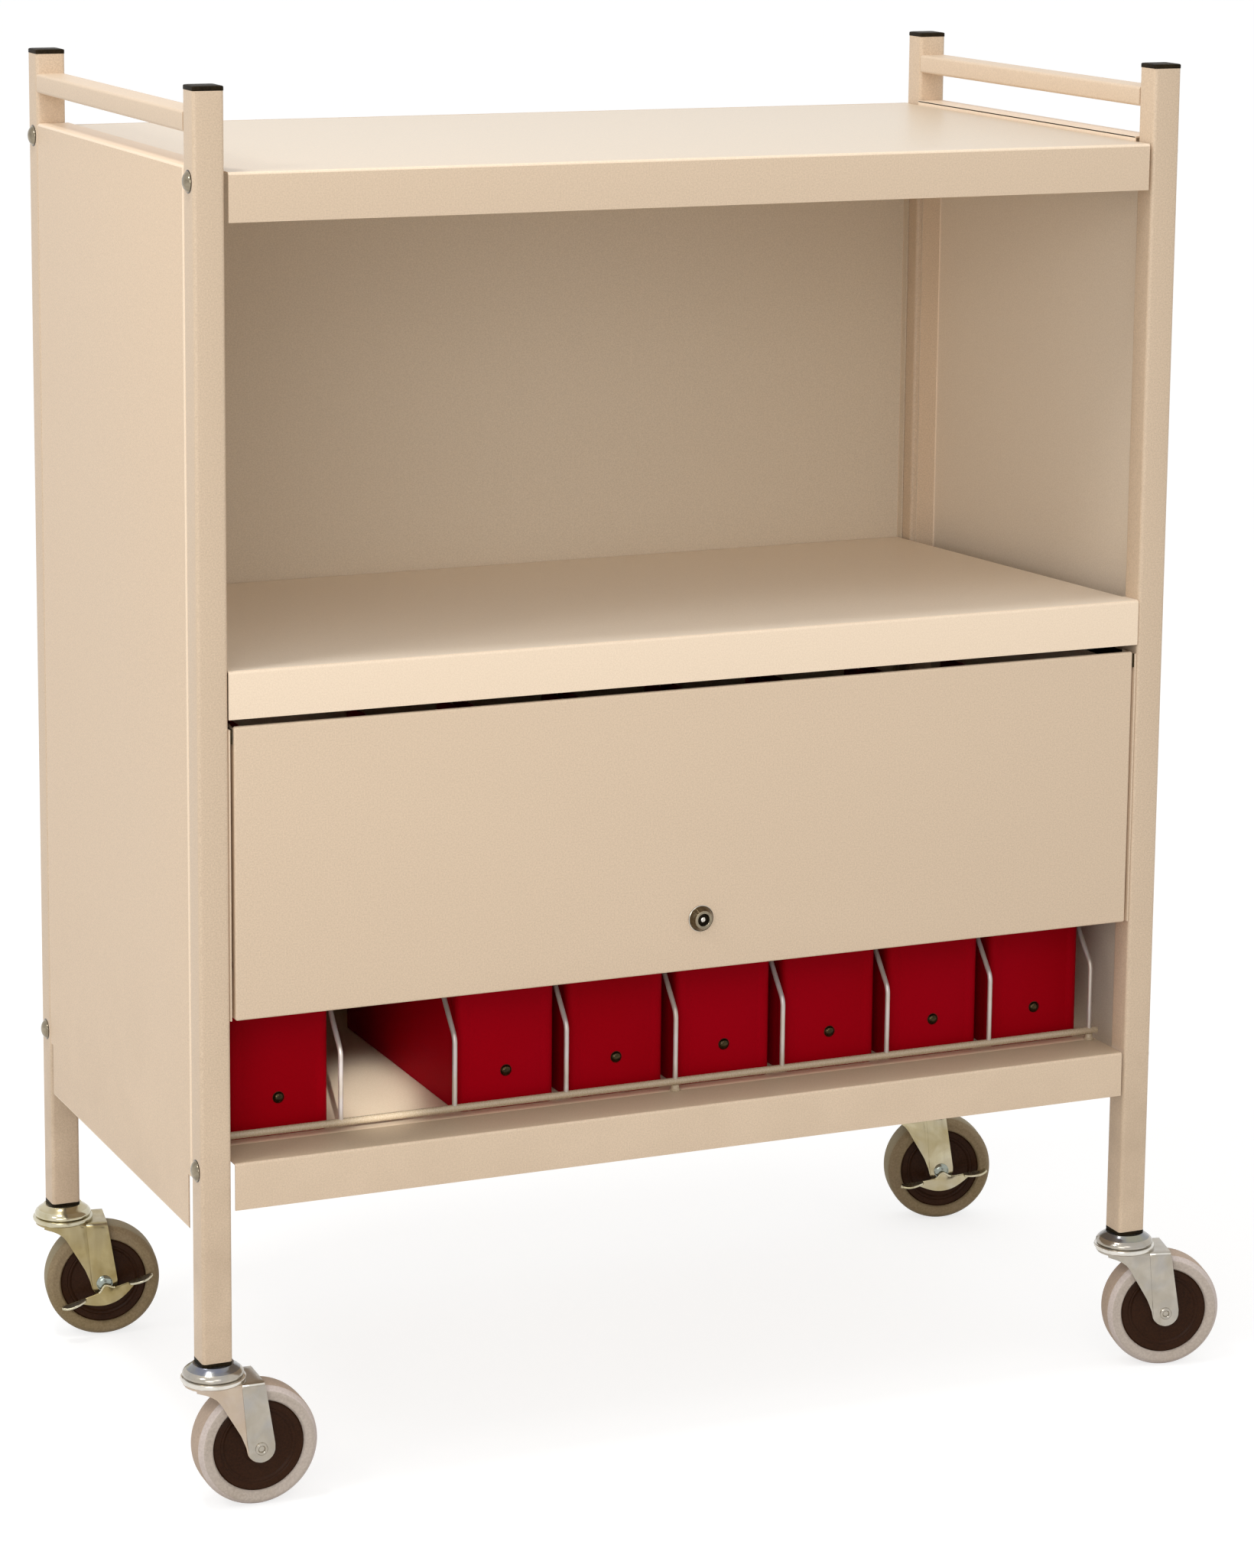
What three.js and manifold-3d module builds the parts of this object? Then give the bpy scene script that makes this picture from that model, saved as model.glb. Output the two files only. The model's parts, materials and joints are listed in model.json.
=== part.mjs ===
// Mobile chart rack: a square-tube frame on four swivel casters, with sheet-metal shelves and panels,
// an open bay above, and a lower bay whose lift-up locking door covers binders kept apart by wire dividers.
// Millimetres. X runs left to right, Y front to back and Z up from the floor.
import * as THREE from "three";
import { mergeVertices } from "three/addons/utils/BufferGeometryUtils.js";
import Module from "manifold-3d";

const wasm = await Module();
wasm.setup();

// Frame of square tube
const frameWidth = 870;
const frameDepth = 450;
const tubeSize = 25.4;
const tubeWall = 1.5;
const tubeCorner = 3;
const tubeLength = 1020;
const railHeight = 16.5;
const railDrop = 16.5; // post top down to the rail's upper face
const capHeight = 5;
const capPlugDepth = 16;

// Clearances
const seatGap = 0.2; // between faces that rest on each other
const plugGap = 0.3; // plastic plugs inside the tubes
const turnGap = 0.3; // pins in their holes

// Sheet metal
const sheet = 1.2;
const shelfFlange = 39;
const shelfEndGap = 3; // shelf ends to the posts, bridged by the spacers
const spacerRadius = 7;
const spacerDrop = 12; // shelf surface down to the spacers' centres
const legClear = 126; // post length below the bottom shelf
const lowerBay = 402; // bottom shelf's surface to the middle shelf's front edge
const topShelfDrop = 62.5; // post top down to the top shelf
const middleFall = 20; // the middle shelf falls to the rear, so things don't roll out
const shortFlange = 18; // the middle shelf's end and rear flanges
const panelRise = 4; // side panels stand this far above the top shelf
const panelSkirt = 22; // and reach this far below the bottom shelf
const panelEdgeGap = 2; // panel edges to the posts
const panelReturn = 20; // side panels' front and rear flanges

// Lift-up door with its pivot rod and tracks
const doorTopGap = 6;
const doorHeight = 239;
const doorReturn = 16;
const doorSideGap = 1;
const jambThick = 3.2;
const jambDepth = 19;
const jambInset = 1; // behind the posts' front faces
const pivotInset = 8; // door top and face to the pivot's axis
const pivotRadius = 4;
const trackLedge = 1.5;
const trackSlotGap = 0.4;

// Lock with two side rods
const lockAboveEdge = 44;
const lockBezelRadius = 11.5;
const lockBezelDepth = 6.5;
const lockBarrelRadius = 9.5;
const lockBarrelDepth = 17;
const lockNutRadius = 13;
const lockNutDepth = 5;
const plugRadius = 5.5;
const plugRecess = 1;
const camLength = 36;
const camWidth = 12;
const camThick = 2.5;
const camGap = 0.4;
const lockRodRadius = 3;
const lockRodInner = 15; // from the lock's axis to a rod's inner end
const lockRodBack = 10; // behind the door's face
const lockRodTravel = 5.5;
const lockRodInset = 1.3; // tips behind the door's edges when unlocked

// Wire divider rack
const slotCount = 8;
const emptySlot = 2;
const rackSideGap = 9.6;
const wireRadius = 2.4;
const rodRadius = 2.75;
const rodLift = 8; // shelf to a rod's axis
const rodEndGap = 1.6; // rod ends to the side spaces
const footRadius = 4.5;
const frontRodSetback = 47;
const rearRodSetback = 75;
const dividerUpright = 60;
const dividerSlopeBack = 88;
const dividerSlopeRise = 100;
const wireBend = 14;

// Binders
const binderSlack = 5.1; // each side, to the wires
const binderHeight = 292;
const binderDepth = 265;
const binderBoard = 2.8;
const binderCorner = 6;
const spineSetback = 58;

// Casters
const wheelDiameter = 101.6;
const tyreWidth = 32;
const tyreShoulder = 5;
const hubRadius = 38;
const hubRim = 7;
const hubRimWidth = 28;
const hubWebWidth = 16;
const hubBossRadius = 12;
const axleRadius = 5;
const axleHeadRadius = 7;
const axleHeadDepth = 2.5;
const wheelTrail = 34;
const wheelSideGap = 2.5;
const hubSideGap = 1;
const forkSheet = 2.5;
const forkBack = 16;
const forkFront = 37;
const forkEndRadius = 12;
const forkWaist = 5.5; // the legs' rear edges narrow to here
const forkWaistDrop = 24; // below the crown's upper face
const crownClearance = 3;
const lowerRaceRadius = 25;
const lowerRaceHeight = 4;
const cupRadius = 24.5;
const cupHeight = 8.5;
const cupShoulder = 4;
const raceGap = 0.4;
const kingpinRadius = 6;
const kingpinHeadRadius = 9;
const kingpinHeadDepth = 3;
const collarHeight = 5;
const stemLength = 30;
const pedalSheet = 2;
const pedalReach = 42;
const pedalDepth = 20; // below the axle
const pedalFoot = 8; // half the plate's lower edge
const pedalArmDrop = 7; // axle down to the arms' upper edges
const pedalArm = 3.5;
const pedalLug = 10.5;
const pedalToe = 17;
const pedalToeDepth = 10;
const pedalTiltLeft = 18; // degrees, with the end away from the stem raised
const pedalTiltRight = 8.5;
const swivelFrontLeft = -2; // degrees, from the wheel trailing to the right
const swivelFrontRight = -15;
const swivelRearLeft = -10;
const swivelRearRight = -15;

// Places worked out from the sizes
const halfWidth = frameWidth / 2;
const halfDepth = frameDepth / 2;
const innerX = halfWidth - tubeSize;
const innerY = halfDepth - tubeSize;
const postX = halfWidth - tubeSize / 2;
const postY = halfDepth - tubeSize / 2;
const axleZ = wheelDiameter / 2;
const crownZ = wheelDiameter + crownClearance;
const raceZ = crownZ + forkSheet;
const cupZ = raceZ + lowerRaceHeight + raceGap;
const collarZ = cupZ + cupHeight;
const postZ = collarZ + collarHeight;
const postTop = postZ + tubeLength;
const bottomShelfZ = postZ + legClear + shelfFlange;
const middleShelfZ = bottomShelfZ + lowerBay;
const topShelfZ = postTop - topShelfDrop;
const shelfHalf = innerX - shelfEndGap;
const backY = halfDepth - sheet - seatGap; // rear edge of the shelves
const jambX = innerX - seatGap - jambThick;
const doorHalf = jambX - doorSideGap;
const doorTop = middleShelfZ - shelfFlange - doorTopGap;
const doorBottom = doorTop - doorHeight;
const pivotY = -halfDepth + pivotInset;
const pivotZ = doorTop - pivotInset;
const lockZ = doorBottom + lockAboveEdge;
const slotPitch = (2 * (innerX - rackSideGap)) / slotCount;
const rodZ = bottomShelfZ + rodLift;
const frontRodY = -halfDepth + frontRodSetback;
const rearRodY = halfDepth - rearRodSetback;

// Materials
const powderCoat = new THREE.MeshStandardMaterial({ color: 0xdec6aa, roughness: 0.55, metalness: 0.1 });
const wireCoat = new THREE.MeshStandardMaterial({ color: 0xc9b698, roughness: 0.5, metalness: 0.1 });
const blackPlastic = new THREE.MeshStandardMaterial({ color: 0x2d2314, roughness: 0.5 });
const zinc = new THREE.MeshStandardMaterial({ color: 0xb9b2a3, roughness: 0.35, metalness: 0.9 });
const chrome = new THREE.MeshStandardMaterial({ color: 0xd6d4d0, roughness: 0.15, metalness: 1 });
const greyRubber = new THREE.MeshStandardMaterial({ color: 0xa89992, roughness: 0.75 });
const brownCore = new THREE.MeshStandardMaterial({ color: 0x321e14, roughness: 0.5 });
const redVinyl = new THREE.MeshStandardMaterial({ color: 0x8b000c, roughness: 0.55 });

// Joining and cutting of closed geometries
function solidOf(geometry) {
  const bare = geometry.clone();
  bare.deleteAttribute("normal");
  bare.deleteAttribute("uv");
  const merged = mergeVertices(bare, 1e-4);
  const vertProperties = new Float32Array(merged.getAttribute("position").array);
  const triVerts = new Uint32Array(merged.index.array);
  return new wasm.Manifold(new wasm.Mesh({ numProp: 3, vertProperties, triVerts }));
}

function geometryOf(solid) {
  const mesh = solid.getMesh();
  const geometry = new THREE.BufferGeometry();
  geometry.setAttribute("position", new THREE.BufferAttribute(mesh.vertProperties, 3));
  geometry.setIndex(new THREE.BufferAttribute(mesh.triVerts, 1));
  geometry.computeVertexNormals();
  return geometry;
}

function join(...geometries) {
  const solids = geometries.map(solidOf);
  return geometryOf(solids.reduce((whole, piece) => whole.add(piece)));
}

function cut(geometry, ...tools) {
  const solids = tools.map(solidOf);
  return geometryOf(solids.reduce((whole, tool) => whole.subtract(tool), solidOf(geometry)));
}

// Basic shapes
function box(x0, x1, y0, y1, z0, z1) {
  const geometry = new THREE.BoxGeometry(x1 - x0, y1 - y0, z1 - z0);
  return geometry.translate((x0 + x1) / 2, (y0 + y1) / 2, (z0 + z1) / 2);
}

function roundedRectangle(width, height, radius, steps = 3) {
  const points = [];
  for (const [sx, sy, start] of [[1, 1, 0], [-1, 1, 1], [-1, -1, 2], [1, -1, 3]]) {
    for (let step = 0; step <= steps; step++) {
      const angle = ((start + step / steps) * Math.PI) / 2;
      const x = sx * (width / 2 - radius) + radius * Math.cos(angle);
      const y = sy * (height / 2 - radius) + radius * Math.sin(angle);
      points.push(new THREE.Vector2(x, y));
    }
  }
  return new THREE.Shape(points);
}

function extrude(shape, length) {
  return new THREE.ExtrudeGeometry(shape, { depth: length, bevelEnabled: false, curveSegments: 6 });
}

function prismZ(shape, z0, z1) {
  return extrude(shape, z1 - z0).translate(0, 0, z0);
}

// A profile drawn in Y and Z, drawn out along X
function prismX(points, x0, x1) {
  const shape = new THREE.Shape(points.map(([y, z]) => new THREE.Vector2(y, z)));
  const turn = new THREE.Matrix4().set(0, 0, 1, x0, 1, 0, 0, 0, 0, 1, 0, 0, 0, 0, 0, 1);
  return extrude(shape, x1 - x0).applyMatrix4(turn);
}

// A shape drawn in X and Z, drawn out along Y
function prismY(shape, y0, y1) {
  const turn = new THREE.Matrix4().set(1, 0, 0, 0, 0, 0, -1, y1, 0, 1, 0, 0, 0, 0, 0, 1);
  return extrude(shape, y1 - y0).applyMatrix4(turn);
}

// A half section of [radius, height] points turned about Z
function turned(profile, segments = 24) {
  const points = profile.map(([radius, height]) => new THREE.Vector2(radius, height));
  return new THREE.LatheGeometry(points, segments).rotateX(Math.PI / 2);
}

// The same about Y, with a flat facet at the bottom
function turnedY(profile, segments) {
  const points = profile.map(([radius, along]) => new THREE.Vector2(radius, along));
  return new THREE.LatheGeometry(points, segments, Math.PI / segments);
}

function rodX(radius, x0, x1, y, z, segments = 12) {
  const geometry = new THREE.CylinderGeometry(radius, radius, x1 - x0, segments);
  return geometry.rotateZ(Math.PI / 2).translate((x0 + x1) / 2, y, z);
}

function rodY(radius, y0, y1, x, z, segments = 16) {
  const geometry = new THREE.CylinderGeometry(radius, radius, y1 - y0, segments);
  return geometry.translate(x, (y0 + y1) / 2, z);
}

// Radius of a faceted hole whose flats clear a pin
function holeRadius(pinRadius, gap, segments) {
  return (pinRadius + gap) / Math.cos(Math.PI / segments);
}

const root = new THREE.Group();

function add(name, geometry, material, parent = root) {
  const mesh = new THREE.Mesh(geometry, material);
  mesh.name = name;
  parent.add(mesh);
  return mesh;
}

// Frame
function tubeZ(z0, z1) {
  const inside = tubeSize - 2 * tubeWall;
  const outer = prismZ(roundedRectangle(tubeSize, tubeSize, tubeCorner), z0, z1);
  const innerCorner = Math.max(tubeCorner - tubeWall, tubeWall / 2);
  return cut(outer, prismZ(roundedRectangle(inside, inside, innerCorner), z0 - 1, z1 + 1));
}

function plugShape() {
  const side = tubeSize - 2 * tubeWall - 2 * plugGap;
  return roundedRectangle(side, side, Math.max(tubeCorner - tubeWall, tubeWall / 2));
}

function postCap() {
  const plate = prismZ(
    roundedRectangle(tubeSize, tubeSize, tubeCorner),
    postTop + seatGap,
    postTop + capHeight,
  );
  return join(plate, prismZ(plugShape(), postTop - capPlugDepth, postTop + capHeight / 2));
}

// Grip rail: a flat rectangular tube welded between the front and rear posts
function topRail(centreX) {
  const z1 = postTop - railDrop;
  const z0 = z1 - railHeight;
  const y1 = innerY - seatGap;
  const half = tubeSize / 2;
  const outer = box(centreX - half, centreX + half, -y1, y1, z0, z1);
  const w = tubeWall;
  return cut(outer, box(centreX - half + w, centreX + half - w, -y1 - 1, y1 + 1, z0 + w, z1 - w));
}

// Shelf: a pan with its flanges turned down; the ends may carry spacers for the frame screws
function shelf(z, fall, sideFlange, spacers) {
  const y0 = -halfDepth;
  const rearZ = z - fall;
  const profile = (fromY, toY, low, high) => [
    [fromY, z - low],
    [toY, rearZ - low],
    [toY, rearZ - high],
    [fromY, z - high],
  ];
  const low = 2 * shelfFlange;
  const inner = shelfHalf - sheet;
  let pan = cut(
    prismX(profile(y0, backY, shelfFlange, 0), -shelfHalf, shelfHalf),
    prismX(profile(y0 + sheet, backY - sheet, low, sheet), -inner, inner),
  );
  if (sideFlange < shelfFlange) {
    const trim = profile(y0 + sheet, backY + sheet, low, sideFlange);
    pan = cut(pan, prismX(trim, -halfWidth, halfWidth));
  }
  if (!spacers) {
    return pan;
  }
  const pieces = [pan];
  for (const side of [-1, 1]) {
    for (const y of [-postY, postY]) {
      const ends = [side * (innerX - seatGap), side * (shelfHalf - sheet / 2)];
      pieces.push(rodX(spacerRadius, Math.min(...ends), Math.max(...ends), y, z - spacerDrop, 12));
    }
  }
  return join(...pieces);
}

// Side panel: a skin flush with the posts, with flanges turned in along its edges
function sidePanel(side) {
  const y1 = innerY - panelEdgeGap;
  const z0 = bottomShelfZ - shelfFlange - panelSkirt;
  const z1 = topShelfZ + panelRise;
  const slab = (fromEdge, toEdge, ...rest) => {
    const ends = [side * (halfWidth - fromEdge), side * (halfWidth - toEdge)];
    return box(Math.min(...ends), Math.max(...ends), ...rest);
  };
  return join(
    slab(0, sheet, -y1, y1, z0, z1),
    slab(0, tubeSize, -y1, y1, z1 - sheet, z1),
    slab(0, panelReturn, -y1, -y1 + sheet, z0, z1),
    slab(0, panelReturn, y1 - sheet, y1, z0, z1),
    slab(0, panelReturn, -y1, y1, z0, z0 + sheet),
    slab(panelReturn / 2, panelReturn, -innerY + seatGap, -y1 + sheet / 2, z0, z1),
    slab(panelReturn / 2, panelReturn, y1 - sheet / 2, innerY - seatGap, z0, z1),
  );
}

function backPanel() {
  const x1 = innerX - seatGap;
  return box(-x1, x1, halfDepth - sheet, halfDepth, bottomShelfZ - shelfFlange, topShelfZ);
}

// Door: a shallow pan that hangs on its pivot rod
function doorPanel() {
  const y0 = -halfDepth;
  const y1 = y0 + doorReturn;
  const x1 = doorHalf;
  const shell = cut(
    box(-x1, x1, y0, y1, doorBottom, doorTop),
    box(-x1 + sheet, x1 - sheet, y0 + sheet, y1 + 1, doorBottom + sheet, doorTop - sheet),
  );
  const pivotHole = holeRadius(pivotRadius, turnGap, 16);
  const rodHole = holeRadius(lockRodRadius, turnGap, 16);
  return cut(
    shell,
    rodX(pivotHole, -x1 - 1, x1 + 1, pivotY, pivotZ, 16),
    rodX(rodHole, -x1 - 1, x1 + 1, y0 + lockRodBack, lockZ, 16),
    rodY(holeRadius(lockBarrelRadius, seatGap, 24), y0 - 1, y0 + sheet + 1, 0, lockZ, 24),
  );
}

// Track on each side: a slotted channel for the pivot rod, over a jamb that the lock rod enters
function doorTrack(side) {
  const outer = innerX - seatGap;
  const wall = outer - jambThick / 3;
  const y0 = -halfDepth + jambInset;
  const y1 = backY;
  const slot = pivotRadius + trackSlotGap;
  const bar = (fromX, toX, ...rest) => {
    const ends = [side * fromX, side * toX];
    return box(Math.min(...ends), Math.max(...ends), ...rest);
  };
  const ledgeTop = pivotZ + slot + trackLedge;
  const ledgeLow = pivotZ - slot - trackLedge;
  const channel = join(
    bar(wall, outer, y0, y1, ledgeLow, ledgeTop),
    bar(jambX, wall + seatGap, y0, y1, pivotZ + slot, ledgeTop),
    bar(jambX, wall + seatGap, y0, y1, ledgeLow, pivotZ - slot),
    bar(jambX, outer, y0, pivotY - slot, ledgeLow, ledgeTop),
    bar(jambX, outer, y0, y0 + jambDepth, doorBottom, pivotZ - slot),
  );
  const hole = holeRadius(lockRodRadius, 2 * turnGap, 16);
  return cut(channel, rodX(hole, -halfWidth, halfWidth, -halfDepth + lockRodBack, lockZ, 16));
}

// Lock barrel: stepped bezel, body through the door and its nut, bored for the plug
function lockBody() {
  const bore = holeRadius(plugRadius, turnGap, 20);
  const nut = sheet + seatGap;
  const profile = [
    [bore, -lockBezelDepth],
    [lockBarrelRadius, -lockBezelDepth],
    [lockBarrelRadius, -lockBezelDepth / 2],
    [lockBezelRadius, -lockBezelDepth / 2],
    [lockBezelRadius, -seatGap],
    [lockBarrelRadius, -seatGap],
    [lockBarrelRadius, nut],
    [lockNutRadius, nut],
    [lockNutRadius, nut + lockNutDepth],
    [lockBarrelRadius, nut + lockNutDepth],
    [lockBarrelRadius, lockBarrelDepth],
    [bore, lockBarrelDepth],
    [bore, -lockBezelDepth],
  ];
  return turnedY(profile, 20).translate(0, -halfDepth, lockZ);
}

// Plug with its two-armed cam behind the barrel
function lockPlug() {
  const y0 = -halfDepth - lockBezelDepth + plugRecess;
  const camY = -halfDepth + lockBarrelDepth + camGap;
  const plug = rodY(plugRadius, y0, camY + camThick, 0, lockZ, 24);
  const keyway = rodY(plugRadius / 2, y0 - 1, y0 + 3 * plugRecess, 0, lockZ, 12);
  const arm = prismY(roundedRectangle(camWidth, camLength, camWidth / 2), camY, camY + camThick);
  return cut(join(plug, arm.translate(0, 0, lockZ)), keyway);
}

function lockRod(side) {
  const ends = [side * lockRodInner, side * (doorHalf - lockRodInset)];
  return rodX(lockRodRadius, Math.min(...ends), Math.max(...ends), -halfDepth + lockRodBack, lockZ, 12);
}

function pivotRod() {
  const reach = innerX - seatGap - jambThick / 3 - turnGap;
  return rodX(pivotRadius, -reach, reach, pivotY, pivotZ, 16);
}

// Wire rack: two rods on feet, and a divider hoop at each slot's edge
function rackRod(y) {
  const reach = innerX - rodEndGap;
  const pieces = [rodX(rodRadius, -reach, reach, y, rodZ, 12)];
  for (const index of [0, slotCount / 2, slotCount]) {
    const foot = turned([[0, seatGap], [footRadius, seatGap], [footRadius, rodLift], [0, rodLift]], 12);
    pieces.push(foot.translate(dividerX(Math.round(index)), y, bottomShelfZ));
  }
  return join(...pieces);
}

function dividerX(index) {
  return (index - slotCount / 2) * slotPitch;
}

// A path through given points, so that an extruded wire has a ring at each of them
class WirePath extends THREE.Curve {
  constructor(points) {
    super();
    this.points = points;
  }

  getPoint(t) {
    const last = this.points.length - 1;
    const place = Math.min(Math.max(t, 0), 1) * last;
    const index = Math.min(Math.floor(place), last - 1);
    return this.points[index].clone().lerp(this.points[index + 1], place - index);
  }

  getPointAt(u) {
    return this.getPoint(u);
  }

  getTangent(t) {
    const last = this.points.length - 1;
    const index = Math.round(t * last);
    const before = this.points[Math.max(index - 1, 0)];
    const here = this.points[index];
    const after = this.points[Math.min(index + 1, last)];
    const ahead = after.clone().sub(here).normalize();
    const behind = here.clone().sub(before).normalize();
    return ahead.add(behind).normalize();
  }

  getTangentAt(u) {
    return this.getTangent(u);
  }
}

// Corner points are rounded by a short bend of the given radius
function bentPath(corners, bend, steps = 3) {
  const points = [corners[0]];
  for (let i = 1; i < corners.length - 1; i++) {
    const into = corners[i].clone().sub(corners[i - 1]).normalize();
    const out = corners[i + 1].clone().sub(corners[i]).normalize();
    const setback = bend * Math.tan(into.angleTo(out) / 2);
    const curve = new THREE.QuadraticBezierCurve3(
      corners[i].clone().addScaledVector(into, -setback),
      corners[i],
      corners[i].clone().addScaledVector(out, setback),
    );
    points.push(...curve.getPoints(steps));
  }
  points.push(corners[corners.length - 1]);
  return new WirePath(points);
}

function divider(index) {
  const foot = rodZ + rodRadius + seatGap;
  const kink = rodZ + dividerUpright;
  const top = kink + dividerSlopeRise;
  const corners = [
    [frontRodY, foot],
    [frontRodY, kink],
    [frontRodY + dividerSlopeBack, top],
    [rearRodY, top],
    [rearRodY, foot],
  ].map(([y, z]) => new THREE.Vector3(dividerX(index), y, z));
  const path = bentPath(corners, wireBend);
  const section = new THREE.Shape();
  section.absarc(0, 0, wireRadius, 0, 2 * Math.PI);
  const steps = path.points.length - 1;
  return new THREE.ExtrudeGeometry(section, { extrudePath: path, steps, curveSegments: 4 });
}

// Binder: spine and two boards, open at the back
function binder(slot) {
  const centreX = dividerX(slot - 0.5);
  const width = slotPitch - 2 * wireRadius - 2 * binderSlack;
  const y0 = -halfDepth + spineSetback;
  const outer = prismZ(roundedRectangle(width, binderDepth + width, binderCorner), 0, binderHeight);
  const inner = prismZ(
    roundedRectangle(width - 2 * binderBoard, binderDepth + width, binderCorner - binderBoard),
    -1,
    binderHeight + 1,
  ).translate(0, binderBoard, 0);
  const half = (binderDepth + width) / 2;
  const beyond = box(-width, width, binderDepth - half, binderDepth + width, -1, binderHeight + 1);
  const shell = cut(outer, inner, beyond);
  return shell.translate(centreX, y0 + half, bottomShelfZ + seatGap);
}

// Caster stem: expander in the post, square collar, upper race cup and kingpin
function casterStem() {
  const headTop = crownZ - turnGap;
  const profile = [
    [0, headTop - kingpinHeadDepth],
    [kingpinHeadRadius, headTop - kingpinHeadDepth],
    [kingpinHeadRadius, headTop],
    [kingpinRadius, headTop],
    [kingpinRadius, cupZ],
    [cupRadius, cupZ],
    [cupRadius, cupZ + cupShoulder],
    [(cupRadius + tubeSize / 2) / 2, cupZ + (cupShoulder + cupHeight) / 2],
    [tubeSize / 2, collarZ + collarHeight / 4],
    [0, collarZ + collarHeight / 4],
  ];
  const collar = prismZ(
    roundedRectangle(tubeSize, tubeSize, tubeCorner),
    collarZ,
    postZ - seatGap,
  );
  const expander = prismZ(plugShape(), postZ - collarHeight / 2, postZ + stemLength);
  return join(turned(profile), collar, expander);
}

// Fork: crown with the lower race, two tapering legs and the riveted axle; the wheel trails along +X
function fork(pedalSide) {
  const gap = tyreWidth / 2 + wheelSideGap;
  const outer = gap + forkSheet;
  const outline = new THREE.Shape();
  outline.moveTo(-forkBack, crownZ);
  outline.lineTo(-forkBack, raceZ);
  outline.lineTo(forkFront, raceZ);
  outline.absarc(wheelTrail, axleZ, forkEndRadius, Math.PI / 12, Math.PI * 1.15, true);
  outline.lineTo(forkWaist, raceZ - forkWaistDrop);
  outline.closePath();
  const race = turned([
    [0, crownZ + forkSheet / 4],
    [lowerRaceRadius - forkSheet, crownZ + forkSheet / 4],
    [lowerRaceRadius, raceZ],
    [lowerRaceRadius, raceZ + lowerRaceHeight],
    [0, raceZ + lowerRaceHeight],
  ]);
  const near = -outer - (pedalSide ? pedalSheet + 2 * turnGap : 0);
  const whole = join(
    box(-forkBack, forkFront, -outer, outer, crownZ, raceZ),
    prismY(outline, -outer, -gap),
    prismY(outline, gap, outer),
    race,
    rodY(axleRadius, near - axleHeadDepth / 2, outer + axleHeadDepth / 2, wheelTrail, axleZ),
    rodY(axleHeadRadius, near - axleHeadDepth, near, wheelTrail, axleZ),
    rodY(axleHeadRadius, outer, outer + axleHeadDepth, wheelTrail, axleZ),
  );
  const bore = holeRadius(kingpinRadius, turnGap, 24);
  return cut(whole, turned([[0, 0], [bore, 0], [bore, postZ], [0, postZ]]));
}

function wheelHub() {
  const bore = holeRadius(axleRadius, turnGap, 24);
  const boss = tyreWidth / 2 + wheelSideGap - hubSideGap;
  const web = hubWebWidth / 2;
  const rim = hubRimWidth / 2;
  const profile = [
    [bore, -boss],
    [hubBossRadius, -boss],
    [hubBossRadius, -web],
    [hubRadius - hubRim, -web],
    [hubRadius - hubRim, -rim],
    [hubRadius, -rim],
    [hubRadius, rim],
    [hubRadius - hubRim, rim],
    [hubRadius - hubRim, web],
    [hubBossRadius, web],
    [hubBossRadius, boss],
    [bore, boss],
    [bore, -boss],
  ];
  return turnedY(profile, 24).translate(wheelTrail, 0, axleZ);
}

function tyre() {
  const segments = 48;
  const flat = 1 / Math.cos(Math.PI / segments);
  const inside = holeRadius(hubRadius, seatGap, 24);
  const outside = (wheelDiameter / 2) * flat;
  const half = tyreWidth / 2;
  const profile = [
    [inside, -half + tyreShoulder / 2],
    [inside + tyreShoulder / 2, -half],
    [outside - tyreShoulder, -half],
    [outside, -half + tyreShoulder],
    [outside, half - tyreShoulder],
    [outside - tyreShoulder, half],
    [inside + tyreShoulder / 2, half],
    [inside, half - tyreShoulder / 2],
    [inside, -half + tyreShoulder / 2],
  ];
  return turnedY(profile, segments).translate(wheelTrail, 0, axleZ);
}

// Brake pedal: a rocking plate on the axle, outside the fork, with a toe pad bent out at each end
function brakePedal(tilt) {
  const back = -(tyreWidth / 2 + wheelSideGap + forkSheet + turnGap);
  const front = back - pedalSheet;
  const armTop = -pedalArmDrop;
  const armLow = armTop - pedalArm;
  const inner = pedalReach - pedalToe;
  const outline = new THREE.Shape();
  outline.moveTo(-pedalReach, armTop);
  outline.lineTo(-pedalReach, armLow);
  outline.lineTo(-inner, armLow);
  outline.lineTo(-pedalFoot, -pedalDepth);
  outline.lineTo(pedalFoot, -pedalDepth);
  outline.lineTo(inner, armLow);
  outline.lineTo(pedalReach, armLow);
  outline.lineTo(pedalReach, armTop);
  outline.lineTo(inner, armTop);
  outline.absarc(0, 0, pedalLug, 0, Math.PI, false);
  outline.lineTo(-inner, armTop);
  outline.closePath();
  const toe = (x0, x1) => {
    return box(x0, x1, front - pedalToeDepth, back - pedalSheet / 2, armTop - pedalSheet, armTop);
  };
  const plate = join(
    prismY(outline, front, back),
    toe(-pedalReach, -inner),
    toe(inner, pedalReach),
  );
  const bore = holeRadius(axleRadius, turnGap, 16);
  const pedal = cut(plate, rodY(bore, front - 1, back + 1, 0, 0));
  return pedal.rotateY(-THREE.MathUtils.degToRad(tilt)).translate(wheelTrail, 0, axleZ);
}

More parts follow.
